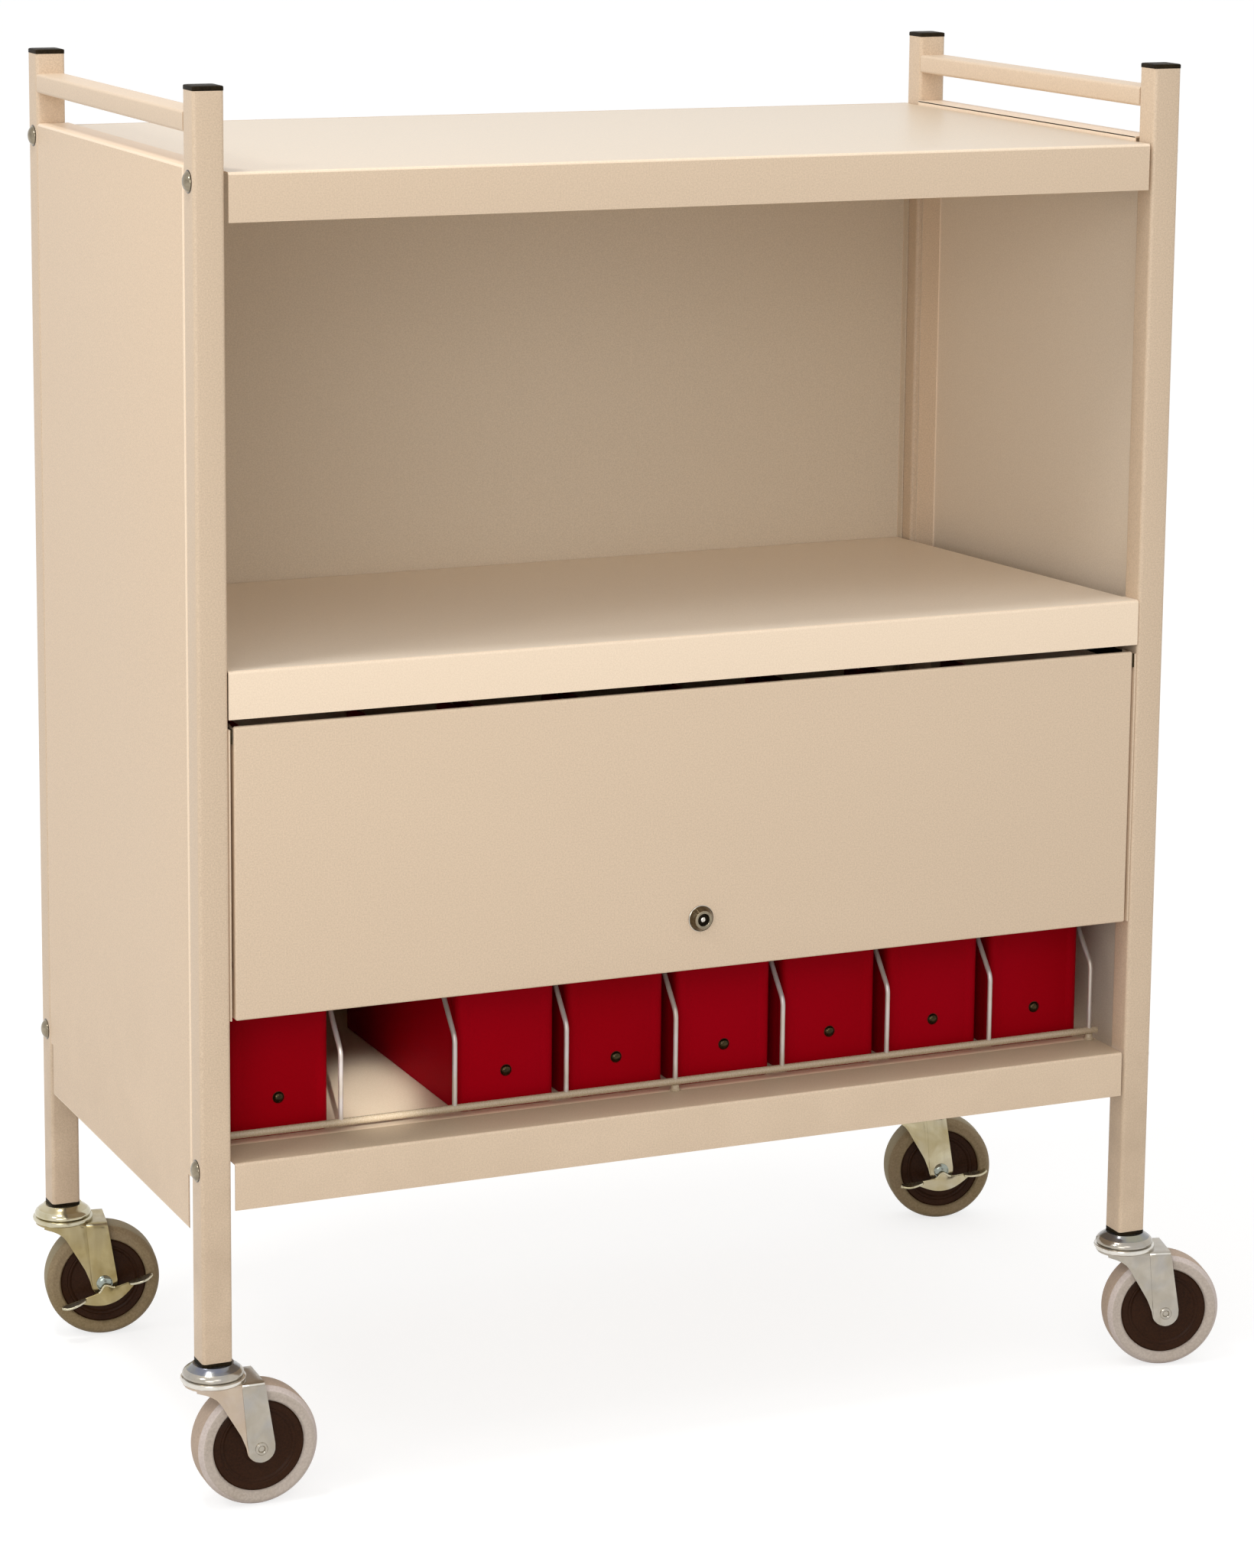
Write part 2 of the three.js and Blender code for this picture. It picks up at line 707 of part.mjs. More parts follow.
// Assembly of the frame
for (const [end, y] of [["front", -postY], ["rear", postY]]) {
  for (const [side, x] of [["left", -postX], ["right", postX]]) {
    add(`${end}_${side}_post`, tubeZ(postZ, postTop), powderCoat).position.set(x, y, 0);
    add(`${end}_${side}_post_cap`, postCap(), blackPlastic).position.set(x, y, 0);
  }
}
add("left_top_rail", topRail(-postX), powderCoat);
add("right_top_rail", topRail(postX), powderCoat);
add("top_shelf", shelf(topShelfZ, 0, shelfFlange, true), powderCoat);
add("middle_shelf", shelf(middleShelfZ, middleFall, shortFlange, false), powderCoat);
add("bottom_shelf", shelf(bottomShelfZ, 0, shelfFlange, true), powderCoat);
add("left_side_panel", sidePanel(-1), powderCoat);
add("right_side_panel", sidePanel(1), powderCoat);
add("back_panel", backPanel(), powderCoat);

// Door, lock and rack
add("door_panel", doorPanel(), powderCoat);
add("door_pivot_rod", pivotRod(), zinc);
add("left_door_track", doorTrack(-1), powderCoat);
add("right_door_track", doorTrack(1), powderCoat);
add("lock_body", lockBody(), chrome);
add("lock_plug", lockPlug(), chrome);
add("left_lock_rod", lockRod(-1), zinc);
add("right_lock_rod", lockRod(1), zinc);
add("rack_front_rod", rackRod(frontRodY), wireCoat);
add("rack_rear_rod", rackRod(rearRodY), wireCoat);
for (let index = 0; index <= slotCount; index++) {
  add(`divider_${index + 1}`, divider(index), wireCoat);
}
for (let slot = 1, count = 1; slot <= slotCount; slot++) {
  if (slot !== emptySlot) {
    add(`chart_binder_${count}`, binder(slot), redVinyl);
    count += 1;
  }
}

// Casters: the stem stays square with the post, and the rest swivels
const corners = [
  ["front_left", -postX, -postY, swivelFrontLeft, false],
  ["front_right", postX, -postY, swivelFrontRight, false],
  ["rear_left", -postX, postY, swivelRearLeft, true, pedalTiltLeft],
  ["rear_right", postX, postY, swivelRearRight, true, pedalTiltRight],
];
for (const [name, x, y, swivel, braked, tilt] of corners) {
  add(`${name}_caster_stem`, casterStem(), zinc).position.set(x, y, 0);
  const caster = new THREE.Group();
  caster.position.set(x, y, 0);
  caster.rotation.z = THREE.MathUtils.degToRad(swivel);
  root.add(caster);
  add(`${name}_fork`, fork(braked), zinc, caster);
  add(`${name}_wheel_hub`, wheelHub(), brownCore, caster);
  add(`${name}_tyre`, tyre(), greyRubber, caster);
  if (braked) {
    add(`${name}_brake_pedal`, brakePedal(tilt), zinc, caster);
  }
}

// The origin lies on the floor below the middle of the whole rack
const bounds = new THREE.Box3().setFromObject(root, true);
const middle = bounds.getCenter(new THREE.Vector3());
root.position.set(-middle.x, -middle.y, -bounds.min.z);

export default root;
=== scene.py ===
import json
import math

import bmesh
import bpy
from mathutils import Matrix, Vector


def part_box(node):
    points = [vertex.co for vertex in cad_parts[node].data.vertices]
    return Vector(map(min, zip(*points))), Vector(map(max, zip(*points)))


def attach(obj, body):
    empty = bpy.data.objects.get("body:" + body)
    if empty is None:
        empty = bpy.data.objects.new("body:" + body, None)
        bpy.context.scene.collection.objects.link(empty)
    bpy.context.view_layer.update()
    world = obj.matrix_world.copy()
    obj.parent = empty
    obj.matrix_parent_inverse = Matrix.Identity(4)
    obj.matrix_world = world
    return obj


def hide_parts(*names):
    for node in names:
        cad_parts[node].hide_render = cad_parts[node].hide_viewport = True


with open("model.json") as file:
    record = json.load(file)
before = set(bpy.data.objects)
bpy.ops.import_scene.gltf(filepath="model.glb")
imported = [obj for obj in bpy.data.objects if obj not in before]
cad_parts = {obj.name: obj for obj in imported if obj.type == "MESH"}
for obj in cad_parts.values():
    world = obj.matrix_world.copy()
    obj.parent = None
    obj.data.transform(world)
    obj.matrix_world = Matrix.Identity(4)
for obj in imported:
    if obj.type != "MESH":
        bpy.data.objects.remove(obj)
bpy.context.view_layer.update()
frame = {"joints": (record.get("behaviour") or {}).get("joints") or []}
scene = bpy.context.scene
joints = {joint["name"]: joint for joint in frame["joints"]}
rackMid = (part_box("front_left_post")[0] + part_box("rear_right_post")[1]) / 2


def at(x, y, z):  # rack millimetres, from the middle of the posts and the floor
    return Vector((rackMid.x + x / 1000, rackMid.y + y / 1000, z / 1000))


def fromSrgb(red, green, blue):
    def lin(v):
        v = v / 255
        return v / 12.92 if v <= 0.04045 else ((v + 0.055) / 1.055) ** 2.4
    return (lin(red), lin(green), lin(blue), 1.0)


# node helpers

def addNode(tree, kind, *ordered, settings=None, **named):  # inputs are sockets to link, or plain values
    node = tree.nodes.new(kind)
    for label, value in (settings or {}).items():
        setattr(node, label, value)
    given = [(node.inputs[k], source) for k, source in enumerate(ordered) if source is not None]
    given += [(node.inputs[label.replace("_", " ")], source) for label, source in named.items()]
    for socket, source in given:
        if isinstance(source, bpy.types.NodeSocket):
            tree.links.new(source, socket)
        else:
            socket.default_value = source
    return node


def mathNode(tree, operation, first, second):
    return addNode(tree, "ShaderNodeMath", first, second, settings={"operation": operation}).outputs[0]


def rangeNode(tree, source, low, high, toLow=0, toHigh=1):
    return addNode(
        tree, "ShaderNodeMapRange", Value=source, From_Min=low, From_Max=high, To_Min=toLow, To_Max=toHigh,
    ).outputs["Result"]


def noiseNode(tree, vector, scale, detail, roughness, distortion=0.0):
    return addNode(
        tree, "ShaderNodeTexNoise", Vector=vector, Scale=scale, Detail=detail, Roughness=roughness,
        Distortion=distortion,
    ).outputs["Fac"]


# camera, light and floor

cameraStyle = {
    "lens": 100.336, "sensor": 36, "shiftDown": -0.15, "clip": (0.05, 200),
    "place": (-1473.9, -3407.9, 1403.6),
    "turn": (79.6402, -0.5478, -23.7017),  # degrees
}
skyStyle = {"tint": (1.0, 0.995, 0.985, 1), "strength": 0.76}
lampStyle = {
    "overhead": {"place": (-1150, -300, 3600), "aim": (0, 0, 950), "size": 0.5, "power": 24},
    "upperLeft": {"place": (-2800, -1000, 3100), "aim": (0, 0, 800), "size": 0.8, "power": 16},
    "frontLeft": {"place": (-2400, -3400, 1500), "aim": (0, 0, 600), "size": 2.0, "power": 30},
    "frontTop": {"place": (-500, -3200, 2500), "aim": (0, 0, 600), "size": 1.4, "power": 10},
    "slotBeam": {  # a narrow beam into the empty slot
        "place": (-760, -1850, 1130), "aim": (-243, -100, 290), "size": 0.012, "power": 250, "cone": 2.9, "blend": 0.9,
    },
}
floorStyle = {"size": 60.0, "bounce": (0.64, 0.63, 0.61, 1), "shadow": (0.35, 0.35, 0.35, 1), "lift": 0.74}


def placed(name, data, place):
    thing = bpy.data.objects.new(name, data)
    scene.collection.objects.link(thing)
    thing.location = at(*place)
    return thing


def makeCamera(style):
    data = bpy.data.cameras.new("photoCamera")
    data.lens = style["lens"]
    data.sensor_width = style["sensor"]
    data.shift_y = style["shiftDown"]
    data.clip_start, data.clip_end = style["clip"]
    camera = placed("photoCamera", data, style["place"])
    camera.rotation_euler = [math.radians(a) for a in style["turn"]]
    scene.camera = camera


def seenDirectly(tree):  # rays from the camera, from mirrors and through glass
    path = addNode(tree, "ShaderNodeLightPath").outputs
    seen = mathNode(tree, "MAXIMUM", path["Is Camera Ray"], path["Is Glossy Ray"])
    return mathNode(tree, "MAXIMUM", seen, path["Is Transmission Ray"])


def makeSky(style):
    world = bpy.data.worlds.new("studioWhite")
    scene.world = world
    world.use_nodes = True
    tree = world.node_tree
    tree.nodes.clear()
    lit = addNode(tree, "ShaderNodeBackground", Color=style["tint"], Strength=style["strength"])
    white = addNode(tree, "ShaderNodeBackground", Color=(1, 1, 1, 1), Strength=1.0)
    mix = addNode(tree, "ShaderNodeMixShader", seenDirectly(tree), lit.outputs[0], white.outputs[0])
    addNode(tree, "ShaderNodeOutputWorld", Surface=mix.outputs[0])


def makeLamp(name, style):
    narrow = "cone" in style
    data = bpy.data.lights.new(name, "SPOT" if narrow else "AREA")
    if narrow:
        data.spot_size = math.radians(style["cone"])
        data.spot_blend = style["blend"]
        data.shadow_soft_size = style["size"]
    else:
        data.shape = "DISK"
        data.size = style["size"]
    data.energy = style["power"]
    lamp = placed(name, data, style["place"])
    lamp.rotation_mode = "QUATERNION"
    lamp.rotation_quaternion = (at(*style["aim"]) - lamp.location).to_track_quat("-Z", "Y")


def makeFloor(style):
    material = bpy.data.materials.new("floorPaper")
    material.use_nodes = True
    tree = material.node_tree
    tree.nodes.clear()
    bounce = addNode(tree, "ShaderNodeBsdfDiffuse", Color=style["bounce"])
    shadow = addNode(tree, "ShaderNodeBsdfDiffuse", Color=style["shadow"])
    lift = addNode(tree, "ShaderNodeEmission", Strength=style["lift"])
    both = addNode(tree, "ShaderNodeAddShader", shadow.outputs[0], lift.outputs[0])
    mix = addNode(tree, "ShaderNodeMixShader", seenDirectly(tree), bounce.outputs[0], both.outputs[0])
    addNode(tree, "ShaderNodeOutputMaterial", Surface=mix.outputs[0])
    half = style["size"] / 2
    mesh = bpy.data.meshes.new("floor")
    mesh.from_pydata([(-half, -half, 0), (half, -half, 0), (half, half, 0), (-half, half, 0)], [], [(0, 1, 2, 3)])
    mesh.materials.append(material)
    floor = bpy.data.objects.new("floor", mesh)
    scene.collection.objects.link(floor)


scene.view_settings.view_transform = "Standard"
makeCamera(cameraStyle)
makeSky(skyStyle)
for lamp, style in lampStyle.items():
    makeLamp(f"{lamp}Lamp", style)
makeFloor(floorStyle)
print("camera, light and floor set")


# shader groups that several finishes share

def newGroup(name, inputs, outputs):
    tree = bpy.data.node_groups.new(name, "ShaderNodeTree")
    for label, value in inputs.items():
        socket = tree.interface.new_socket(label, in_out="INPUT", socket_type="NodeSocketFloat")
        socket.default_value = value
    for label in outputs:
        tree.interface.new_socket(label, in_out="OUTPUT", socket_type="NodeSocketFloat")
    place = addNode(tree, "ShaderNodeTexCoord").outputs["Object"]
    return tree, tree.nodes.new("NodeGroupInput").outputs, place


def makeGrainGroup():  # fine grain, slow drift of tone, and the relief under the paint
    scales = {"Grain Scale": 700.0, "Drift Scale": 4.0, "Relief Scale": 450.0}
    tree, given, place = newGroup("grain", scales, ("Grain", "Drift", "Relief"))
    fine = noiseNode(tree, place, given["Grain Scale"], 2.5, 0.6)
    slow = noiseNode(tree, place, given["Drift Scale"], 3.0, 0.5)
    relief = noiseNode(tree, place, given["Relief Scale"], 1.0, 0.4)
    grain, drift = rangeNode(tree, fine, 0.32, 0.68), rangeNode(tree, slow, 0.35, 0.65)
    addNode(tree, "NodeGroupOutput", Grain=grain, Drift=drift, Relief=relief)
    return tree


def makeGrimeGroup():  # dust and scuffs that gather towards the floor
    tree, given, place = newGroup("grime", {"Reach": 0.3, "Patch Scale": 18.0}, ("Dust", "Scuff"))
    height = addNode(tree, "ShaderNodeSeparateXYZ", place).outputs["Z"]
    low = rangeNode(tree, mathNode(tree, "DIVIDE", height, given["Reach"]), 0, 1, 1, 0)
    patch = noiseNode(tree, place, given["Patch Scale"], 5.0, 0.6)
    squeezed = addNode(tree, "ShaderNodeMapping", Vector=place, Scale=(1, 1, 0.07), Rotation=(0.3, 0.5, 0))
    lines = noiseNode(tree, squeezed.outputs[0], 380.0, 2.0, 0.5)
    dust = mathNode(tree, "MULTIPLY", low, rangeNode(tree, patch, 0.38, 0.7))
    scuff = mathNode(tree, "MULTIPLY", rangeNode(tree, lines, 0.66, 0.74), rangeNode(tree, patch, 0.56, 0.66))
    addNode(tree, "NodeGroupOutput", Dust=dust, Scuff=scuff)
    return tree


def makePlatingGroup():  # clouds and streaks of a plated finish
    scales = {"Cloud Scale": 60.0, "Streak Scale": 260.0}
    tree, given, place = newGroup("plating", scales, ("Cloud", "Bloom", "Streak"))
    shifted = addNode(tree, "ShaderNodeMapping", Vector=place, Location=(3.7, 1.9, 5.3)).outputs[0]
    drawn = addNode(tree, "ShaderNodeMapping", Vector=place, Scale=(1, 1, 0.12)).outputs[0]
    cloud = rangeNode(tree, noiseNode(tree, place, given["Cloud Scale"], 3.0, 0.55, 0.6), 0.35, 0.65)
    bloom = rangeNode(tree, noiseNode(tree, shifted, given["Cloud Scale"], 2.0, 0.5), 0.45, 0.7)
    streak = rangeNode(tree, noiseNode(tree, drawn, given["Streak Scale"], 3.0, 0.6), 0.3, 0.7)
    addNode(tree, "NodeGroupOutput", Cloud=cloud, Bloom=bloom, Streak=streak)
    return tree


grainGroup = makeGrainGroup()
grimeGroup = makeGrimeGroup()
platingGroup = makePlatingGroup()


# finishes

def newFinish(name, style):
    material = bpy.data.materials.new(name)
    material.use_nodes = True
    tones = {key: fromSrgb(*value) for key, value in style.items() if isinstance(value, tuple) and len(value) == 3}
    return material, material.node_tree, tones


def groupNode(tree, group, **values):
    return addNode(tree, "ShaderNodeGroup", settings={"node_tree": group}, **values).outputs


def mixColours(tree, factor, first, second, share=1.0):
    if share != 1.0:
        factor = rangeNode(tree, factor, 0, 1, 0, share)
    unused = [None] * 5  # the node's inputs for values and vectors
    return addNode(tree, "ShaderNodeMix", factor, *unused, first, second, settings={"data_type": "RGBA"}).outputs[2]


def dress(tree, style, colour, gloss, height, glossFrom=(0, 1)):  # colour, roughness and relief
    shader = tree.nodes["Principled BSDF"]
    bump = addNode(tree, "ShaderNodeBump", Height=height, Strength=style["relief"], Distance=style["bump"])
    tree.links.new(colour, shader.inputs["Base Color"])
    tree.links.new(rangeNode(tree, gloss, *glossFrom, *style["gloss"]), shader.inputs["Roughness"])
    tree.links.new(bump.outputs[0], shader.inputs["Normal"])
    for label, key in (("Specular IOR Level", "specular"), ("Metallic", "metal")):
        if key in style:
            shader.inputs[label].default_value = style[key]


def grainNode(tree, style):
    return groupNode(
        tree, grainGroup, Grain_Scale=style["grain"], Drift_Scale=style["drift"], Relief_Scale=style["peel"],
    )


def grimeNode(tree, style):
    return groupNode(tree, grimeGroup, Reach=style["dustReach"], Patch_Scale=style["patch"])


def grainyFinish(name, style):  # paint, plastic and rubber
    material, tree, tone = newFinish(name, style)
    grain, grime = grainNode(tree, style), grimeNode(tree, style)
    colour = mixColours(tree, grain["Grain"], tone["dark"], tone["light"])
    colour = mixColours(tree, grain["Drift"], colour, tone["worn"], style["wornShare"])
    colour = mixColours(tree, grime["Dust"], colour, tone["dust"], style["dustShare"])
    if style["scuffShare"]:
        colour = mixColours(tree, grime["Scuff"], colour, tone["light"], style["scuffShare"])
    dress(tree, style, colour, grain["Grain"], grain["Relief"])
    return material


def platedFinish(name, style):
    material, tree, tone = newFinish(name, style)
    plating = groupNode(tree, platingGroup, Cloud_Scale=style["cloud"], Streak_Scale=style["streak"])
    grime = grimeNode(tree, style)
    colour = mixColours(tree, plating["Cloud"], tone["base"], tone["tint"])
    colour = mixColours(tree, plating["Bloom"], colour, tone["bloom"], style["bloomShare"])
    if style["streakShare"]:
        colour = mixColours(tree, plating["Streak"], colour, tone["tint"], style["streakShare"])
    colour = mixColours(tree, grime["Dust"], colour, tone["dust"], style["dustShare"])
    dress(tree, style, colour, plating["Streak"], plating["Streak"])
    return material


def vinylFinish(name, style):  # each binder is a little lighter or darker than the next
    material, tree, tone = newFinish(name, style)
    grain = grainNode(tree, style)
    place = addNode(tree, "ShaderNodeTexCoord").outputs["Object"]
    across = addNode(tree, "ShaderNodeSeparateXYZ", place).outputs["X"]
    slotOf = mathNode(tree, "SNAP", mathNode(tree, "SUBTRACT", across, rackMid.x), style["pitch"])
    chance = addNode(tree, "ShaderNodeTexWhiteNoise", settings={"noise_dimensions": "1D"}, W=slotOf)
    colour = mixColours(tree, chance.outputs["Value"], tone["dark"], tone["light"])
    colour = mixColours(tree, grain["Grain"], colour, tone["deep"], style["deepShare"])
    colour = mixColours(tree, grain["Drift"], colour, tone["worn"], style["wornShare"])
    dress(tree, style, colour, grain["Relief"], grain["Relief"], style["glossFrom"])
    return material


def shade(style, first, second, third, **more):  # the same finish in other tones
    keys = ("dark", "light", "worn") if "dark" in style else ("base", "tint", "bloom")
    return {**style, **dict(zip(keys, (first, second, third))), **more}


coatStyle = {
    "dark": (210, 187, 161), "light": (227, 204, 178), "worn": (222, 199, 171), "wornShare": 0.16,
    "dust": (190, 168, 142), "dustReach": 0.45, "dustShare": 0.5, "patch": 14.0, "scuffShare": 0.35,
    "grain": 820.0, "drift": 3.0, "peel": 420.0,
    "gloss": (0.38, 0.50), "specular": 0.36, "relief": 0.05, "bump": 0.0004,
}
plasticStyle = {
    "dark": (12, 9, 4), "light": (40, 31, 18), "worn": (58, 46, 28), "wornShare": 0.25,
    "dust": (40, 33, 24), "dustReach": 0.14, "dustShare": 0.1, "patch": 45.0, "scuffShare": 0.0,
    "grain": 520.0, "drift": 60.0, "peel": 800.0,
    "gloss": (0.45, 0.60), "specular": 0.06, "relief": 0.12, "bump": 0.0005,
}
rubberStyle = {
    **plasticStyle, "dark": (174, 161, 149), "light": (194, 181, 169), "worn": (204, 192, 184), "wornShare": 0.3,
    "dust": (160, 142, 122), "dustReach": 0.07, "dustShare": 0.3, "drift": 26.0, "peel": 520.0,
    "gloss": (0.55, 0.72), "specular": 0.18, "relief": 0.16,
}
# darker, browner rubber for the braked casters' tyres: painted shade
shadedBrownRubberStyle = shade(rubberStyle, (128, 110, 80), (148, 130, 99), (150, 132, 114), dust=(116, 97, 64))
coreStyle = {
    **plasticStyle, "dark": (38, 20, 9), "light": (53, 30, 16), "worn": (62, 37, 22), "wornShare": 0.3,
    "dust": (64, 42, 27), "dustReach": 0.09, "dustShare": 0.2, "grain": 600.0, "drift": 30.0, "peel": 620.0,
    "gloss": (0.30, 0.42), "specular": 0.08, "relief": 0.10,
}
zincStyle = {
    "base": (184, 177, 165), "tint": (168, 160, 146), "bloom": (160, 164, 172), "bloomShare": 0.35,
    "dust": (150, 140, 122), "dustReach": 0.16, "dustShare": 0.35, "patch": 40.0,
    "cloud": 55.0, "streak": 120.0, "streakShare": 0.25,
    "gloss": (0.14, 0.26), "metal": 0.9, "relief": 0.08, "bump": 0.0003,
}
yellowZincStyle = shade(
    zincStyle, (208, 199, 170), (174, 160, 122), (198, 195, 186), bloomShare=0.5,
    dust=(150, 136, 104), cloud=38.0, streak=70.0, streakShare=0.6,
)
wireStyle = shade(
    zincStyle, (204, 194, 186), (188, 176, 162), (198, 192, 198), bloomShare=0.5, dust=(176, 164, 146),
    cloud=40.0, streak=200.0, streakShare=0.0, gloss=(0.30, 0.40), metal=0.45,
)
chromeStyle = shade(
    zincStyle, (214, 209, 200), (196, 190, 180), (176, 168, 154), bloomShare=0.3,
    cloud=160.0, streak=240.0, streakShare=0.0, gloss=(0.10, 0.20), metal=1.0,
)
bronzeStyle = shade(
    zincStyle, (58, 46, 26), (40, 32, 20), (82, 70, 46), bloomShare=0.4, dust=(60, 52, 40),
    cloud=300.0, streak=240.0, streakShare=0.0, gloss=(0.08, 0.16),
)
vinylStyle = {
    "dark": (151, 0, 14), "light": (162, 0, 19), "deep": (132, 0, 12), "deepShare": 0.25,
    "worn": (170, 4, 34), "wornShare": 0.14, "pitch": 0.1, "grain": 520.0, "drift": 9.0, "peel": 700.0,
    "gloss": (0.40, 0.52), "glossFrom": (0.3, 0.7), "specular": 0.02, "relief": 0.18, "bump": 0.0003,
}


def coat(name, dark, light, worn, **more):
    return grainyFinish(name, shade(coatStyle, dark, light, worn, **more))


def plate(name, style, base, tint, bloom, **more):
    return platedFinish(name, shade(style, base, tint, bloom, **more))


def rubber(name, style, dark, light, worn):
    return grainyFinish(name, shade(style, dark, light, worn))


powderCoat = grainyFinish("powderCoat", coatStyle)
# a paler, glossier copy of the coat for the top shelf's upward faces: painted light
litTopCoat = coat(
    "topPowderCoat", (208, 191, 169), (227, 210, 188), (220, 201, 177), gloss=(0.32, 0.42), specular=0.5,
)
# a slightly lighter copy of the coat for the side panels' outer faces: painted light
litPanelCoat = coat("panelPowderCoat", (211, 187, 160), (232, 208, 181), (225, 201, 173), specular=0.18)
# a little darker than the door's coat, and darker towards the floor over a wider band
postCoat = coat(
    "postPowderCoat", (202, 179, 153), (223, 200, 174), (215, 192, 164), dust=(170, 147, 122), dustShare=0.75,
)
# a lighter, paler copy of the coat for the back panel inside the bays: painted light against the bays' shade
litBayCoat = coat("bayPowderCoat", (208, 192, 170), (226, 210, 188), (219, 201, 177), dustShare=0.2)
# a lighter, paler copy of the coat for the side panels' faces inside the bays: painted light against the bays' shade
litSideBayCoat = coat("sideBayPowderCoat", (232, 217, 197), (246, 232, 213), (240, 224, 202), dustShare=0.1)
# a lighter copy of the coat for the middle shelf's top inside the bay: painted light against the bay's shade
litShelfCoat = coat("shelfPowderCoat", (242, 227, 207), (253, 240, 222), (249, 232, 210), dustShare=0.1)
# a lighter copy of the coat for the bottom shelf's top: painted light falling into the slots
litTrayCoat = coat("trayPowderCoat", (243, 221, 188), (253, 234, 205), (249, 227, 194), dustShare=0.0, specular=0.2)
# a darker copy of the coat for the bottom shelf's front strip: painted shade
shadedLipCoat = coat("lipPowderCoat", (192, 172, 145), (205, 185, 158), (200, 179, 150), dustShare=0.1, specular=0.2)
# a lighter copy of the coat: painted highlight along the folds, and painted light on the panels' top flanges and the
# middle shelf's flange
highlightCoat = coat("brightPowderCoat", (238, 216, 190), (250, 229, 204), (247, 225, 198), dustShare=0.2)
# a darker copy of the coat for the rack's rods: painted shade of the door above them
rodCoat = coat(
    "rodCoat", (178, 160, 134), (184, 166, 140), (178, 158, 130), dust=(170, 150, 124),
    gloss=(0.22, 0.32), specular=0.6, relief=0.03,
)
wirePlate = platedFinish("wirePlate", wireStyle)
brightZinc = platedFinish("brightZinc", zincStyle)
# a warm-tinted copy of the zinc for the front-left fork's web: painted reflection
warmZinc = plate("warmZinc", zincStyle, (200, 184, 166), (188, 169, 148), (186, 174, 168))
# a darker, bluish copy of the zinc for the top of the front cups: painted shade under the collar
blueZinc = plate("blueZinc", zincStyle, (122, 126, 142), (150, 148, 132), (96, 100, 126), bloomShare=0.5)
# a lighter, glossier copy of the zinc for the races and the fork's crown fold: painted highlight
polishedZinc = plate(
    "polishedZinc", zincStyle, (232, 228, 220), (214, 208, 196), (200, 202, 206), gloss=(0.10, 0.18),
)
nutZinc = plate("nutZinc", zincStyle, (164, 174, 170), (146, 152, 138), (150, 164, 170))
yellowZinc = platedFinish("yellowZinc", yellowZincStyle)
oliveZinc = plate("oliveZinc", yellowZincStyle, (186, 172, 130), (144, 126, 80), (176, 168, 146))
# a lighter copy of the yellow zinc for the braked casters' cups, races, toes and the pedals' arch rims: painted
# highlight
paleZinc = plate(
    "paleZinc", yellowZincStyle, (214, 207, 184), (184, 174, 138), (202, 202, 192), streakShare=0.3, gloss=(0.10, 0.20),
)
lockChrome = platedFinish("lockChrome", chromeStyle)
screwSteel = plate("screwSteel", chromeStyle, (158, 147, 127), (136, 125, 106), (112, 104, 92), gloss=(0.10, 0.18))
# dark bronze for the binders' rivets; on the door tracks' channels and round the frame screws it is painted shade
darkBronze = platedFinish("darkBronze", bronzeStyle)
# a dark, glossy copy of the bronze for the lock's bezel band: painted dark reflection
bezelMetal = plate("bezelMetal", bronzeStyle, (98, 85, 64), (74, 62, 44), (122, 108, 84), gloss=(0.05, 0.10))
# a mid-tone copy for the bezel's rim: painted reflection
rimMetal = plate(
    "rimMetal", bronzeStyle, (150, 139, 118), (132, 121, 102), (112, 102, 86), bloomShare=0.3, dust=(110, 100, 86),
    gloss=(0.22, 0.34),
)
blackPlastic = grainyFinish("blackPlastic", plasticStyle)
brownCore = grainyFinish("brownCore", coreStyle)
greyRubber = grainyFinish("greyRubber", rubberStyle)
# a lighter copy of the rubber for the front tyres' shoulders: painted highlight
paleRubber = rubber("paleRubber", rubberStyle, (194, 180, 172), (210, 197, 190), (216, 204, 198))
treadRubber = rubber("treadRubber", rubberStyle, (174, 153, 135), (192, 171, 153), (188, 168, 152))
brownRubber = grainyFinish("brownRubber", shadedBrownRubberStyle)
oliveRubber = rubber("oliveRubber", shadedBrownRubberStyle, (138, 124, 96), (156, 142, 112), (150, 140, 118))
redVinyl = vinylFinish("redVinyl", vinylStyle)
print("finishes made:", len(bpy.data.materials))


# mesh helpers

def linkMesh(name, mesh, *finishes):
    for finish in finishes:
        mesh.materials.append(finish)
    piece = bpy.data.objects.new(name, mesh)
    scene.collection.objects.link(piece)
    return piece


def linkShape(name, bm, *finishes):
    bmesh.ops.remove_doubles(bm, verts=bm.verts, dist=1e-6)
    bmesh.ops.recalc_face_normals(bm, faces=bm.faces)
    mesh = bpy.data.meshes.new(name)
    bm.to_mesh(mesh)
    bm.free()
    return linkMesh(name, mesh, *finishes)


def settle(piece, angle=40, tools=()):  # modifiers become plain mesh, with smooth shading over soft edges
    bpy.context.view_layer.update()
    shape = piece.evaluated_get(bpy.context.evaluated_depsgraph_get())
    mesh = bpy.data.meshes.new_from_object(shape)
    piece.modifiers.clear()
    old = piece.data
    piece.data = mesh
    bpy.data.meshes.remove(old)
    mesh.name = piece.name
    mesh.shade_smooth()
    mesh.set_sharp_from_angle(angle=math.radians(angle))
    for tool in tools:
        bpy.data.objects.remove(tool)
    return piece


def shaped(name, bm, angle, *finishes):
    return settle(linkShape(name, bm, *finishes), angle)


def paintFaces(piece, choose, *finishes):  # choose gives the number of a face's finish, or None to leave it
    for finish in finishes:
        piece.data.materials.append(finish)
    for face in piece.data.polygons:
        number = choose(face)
        if number is not None:
            face.material_index = number


def give(piece, body, slot, *nodes):
    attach(piece, body)
    if nodes:
        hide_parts(*nodes)


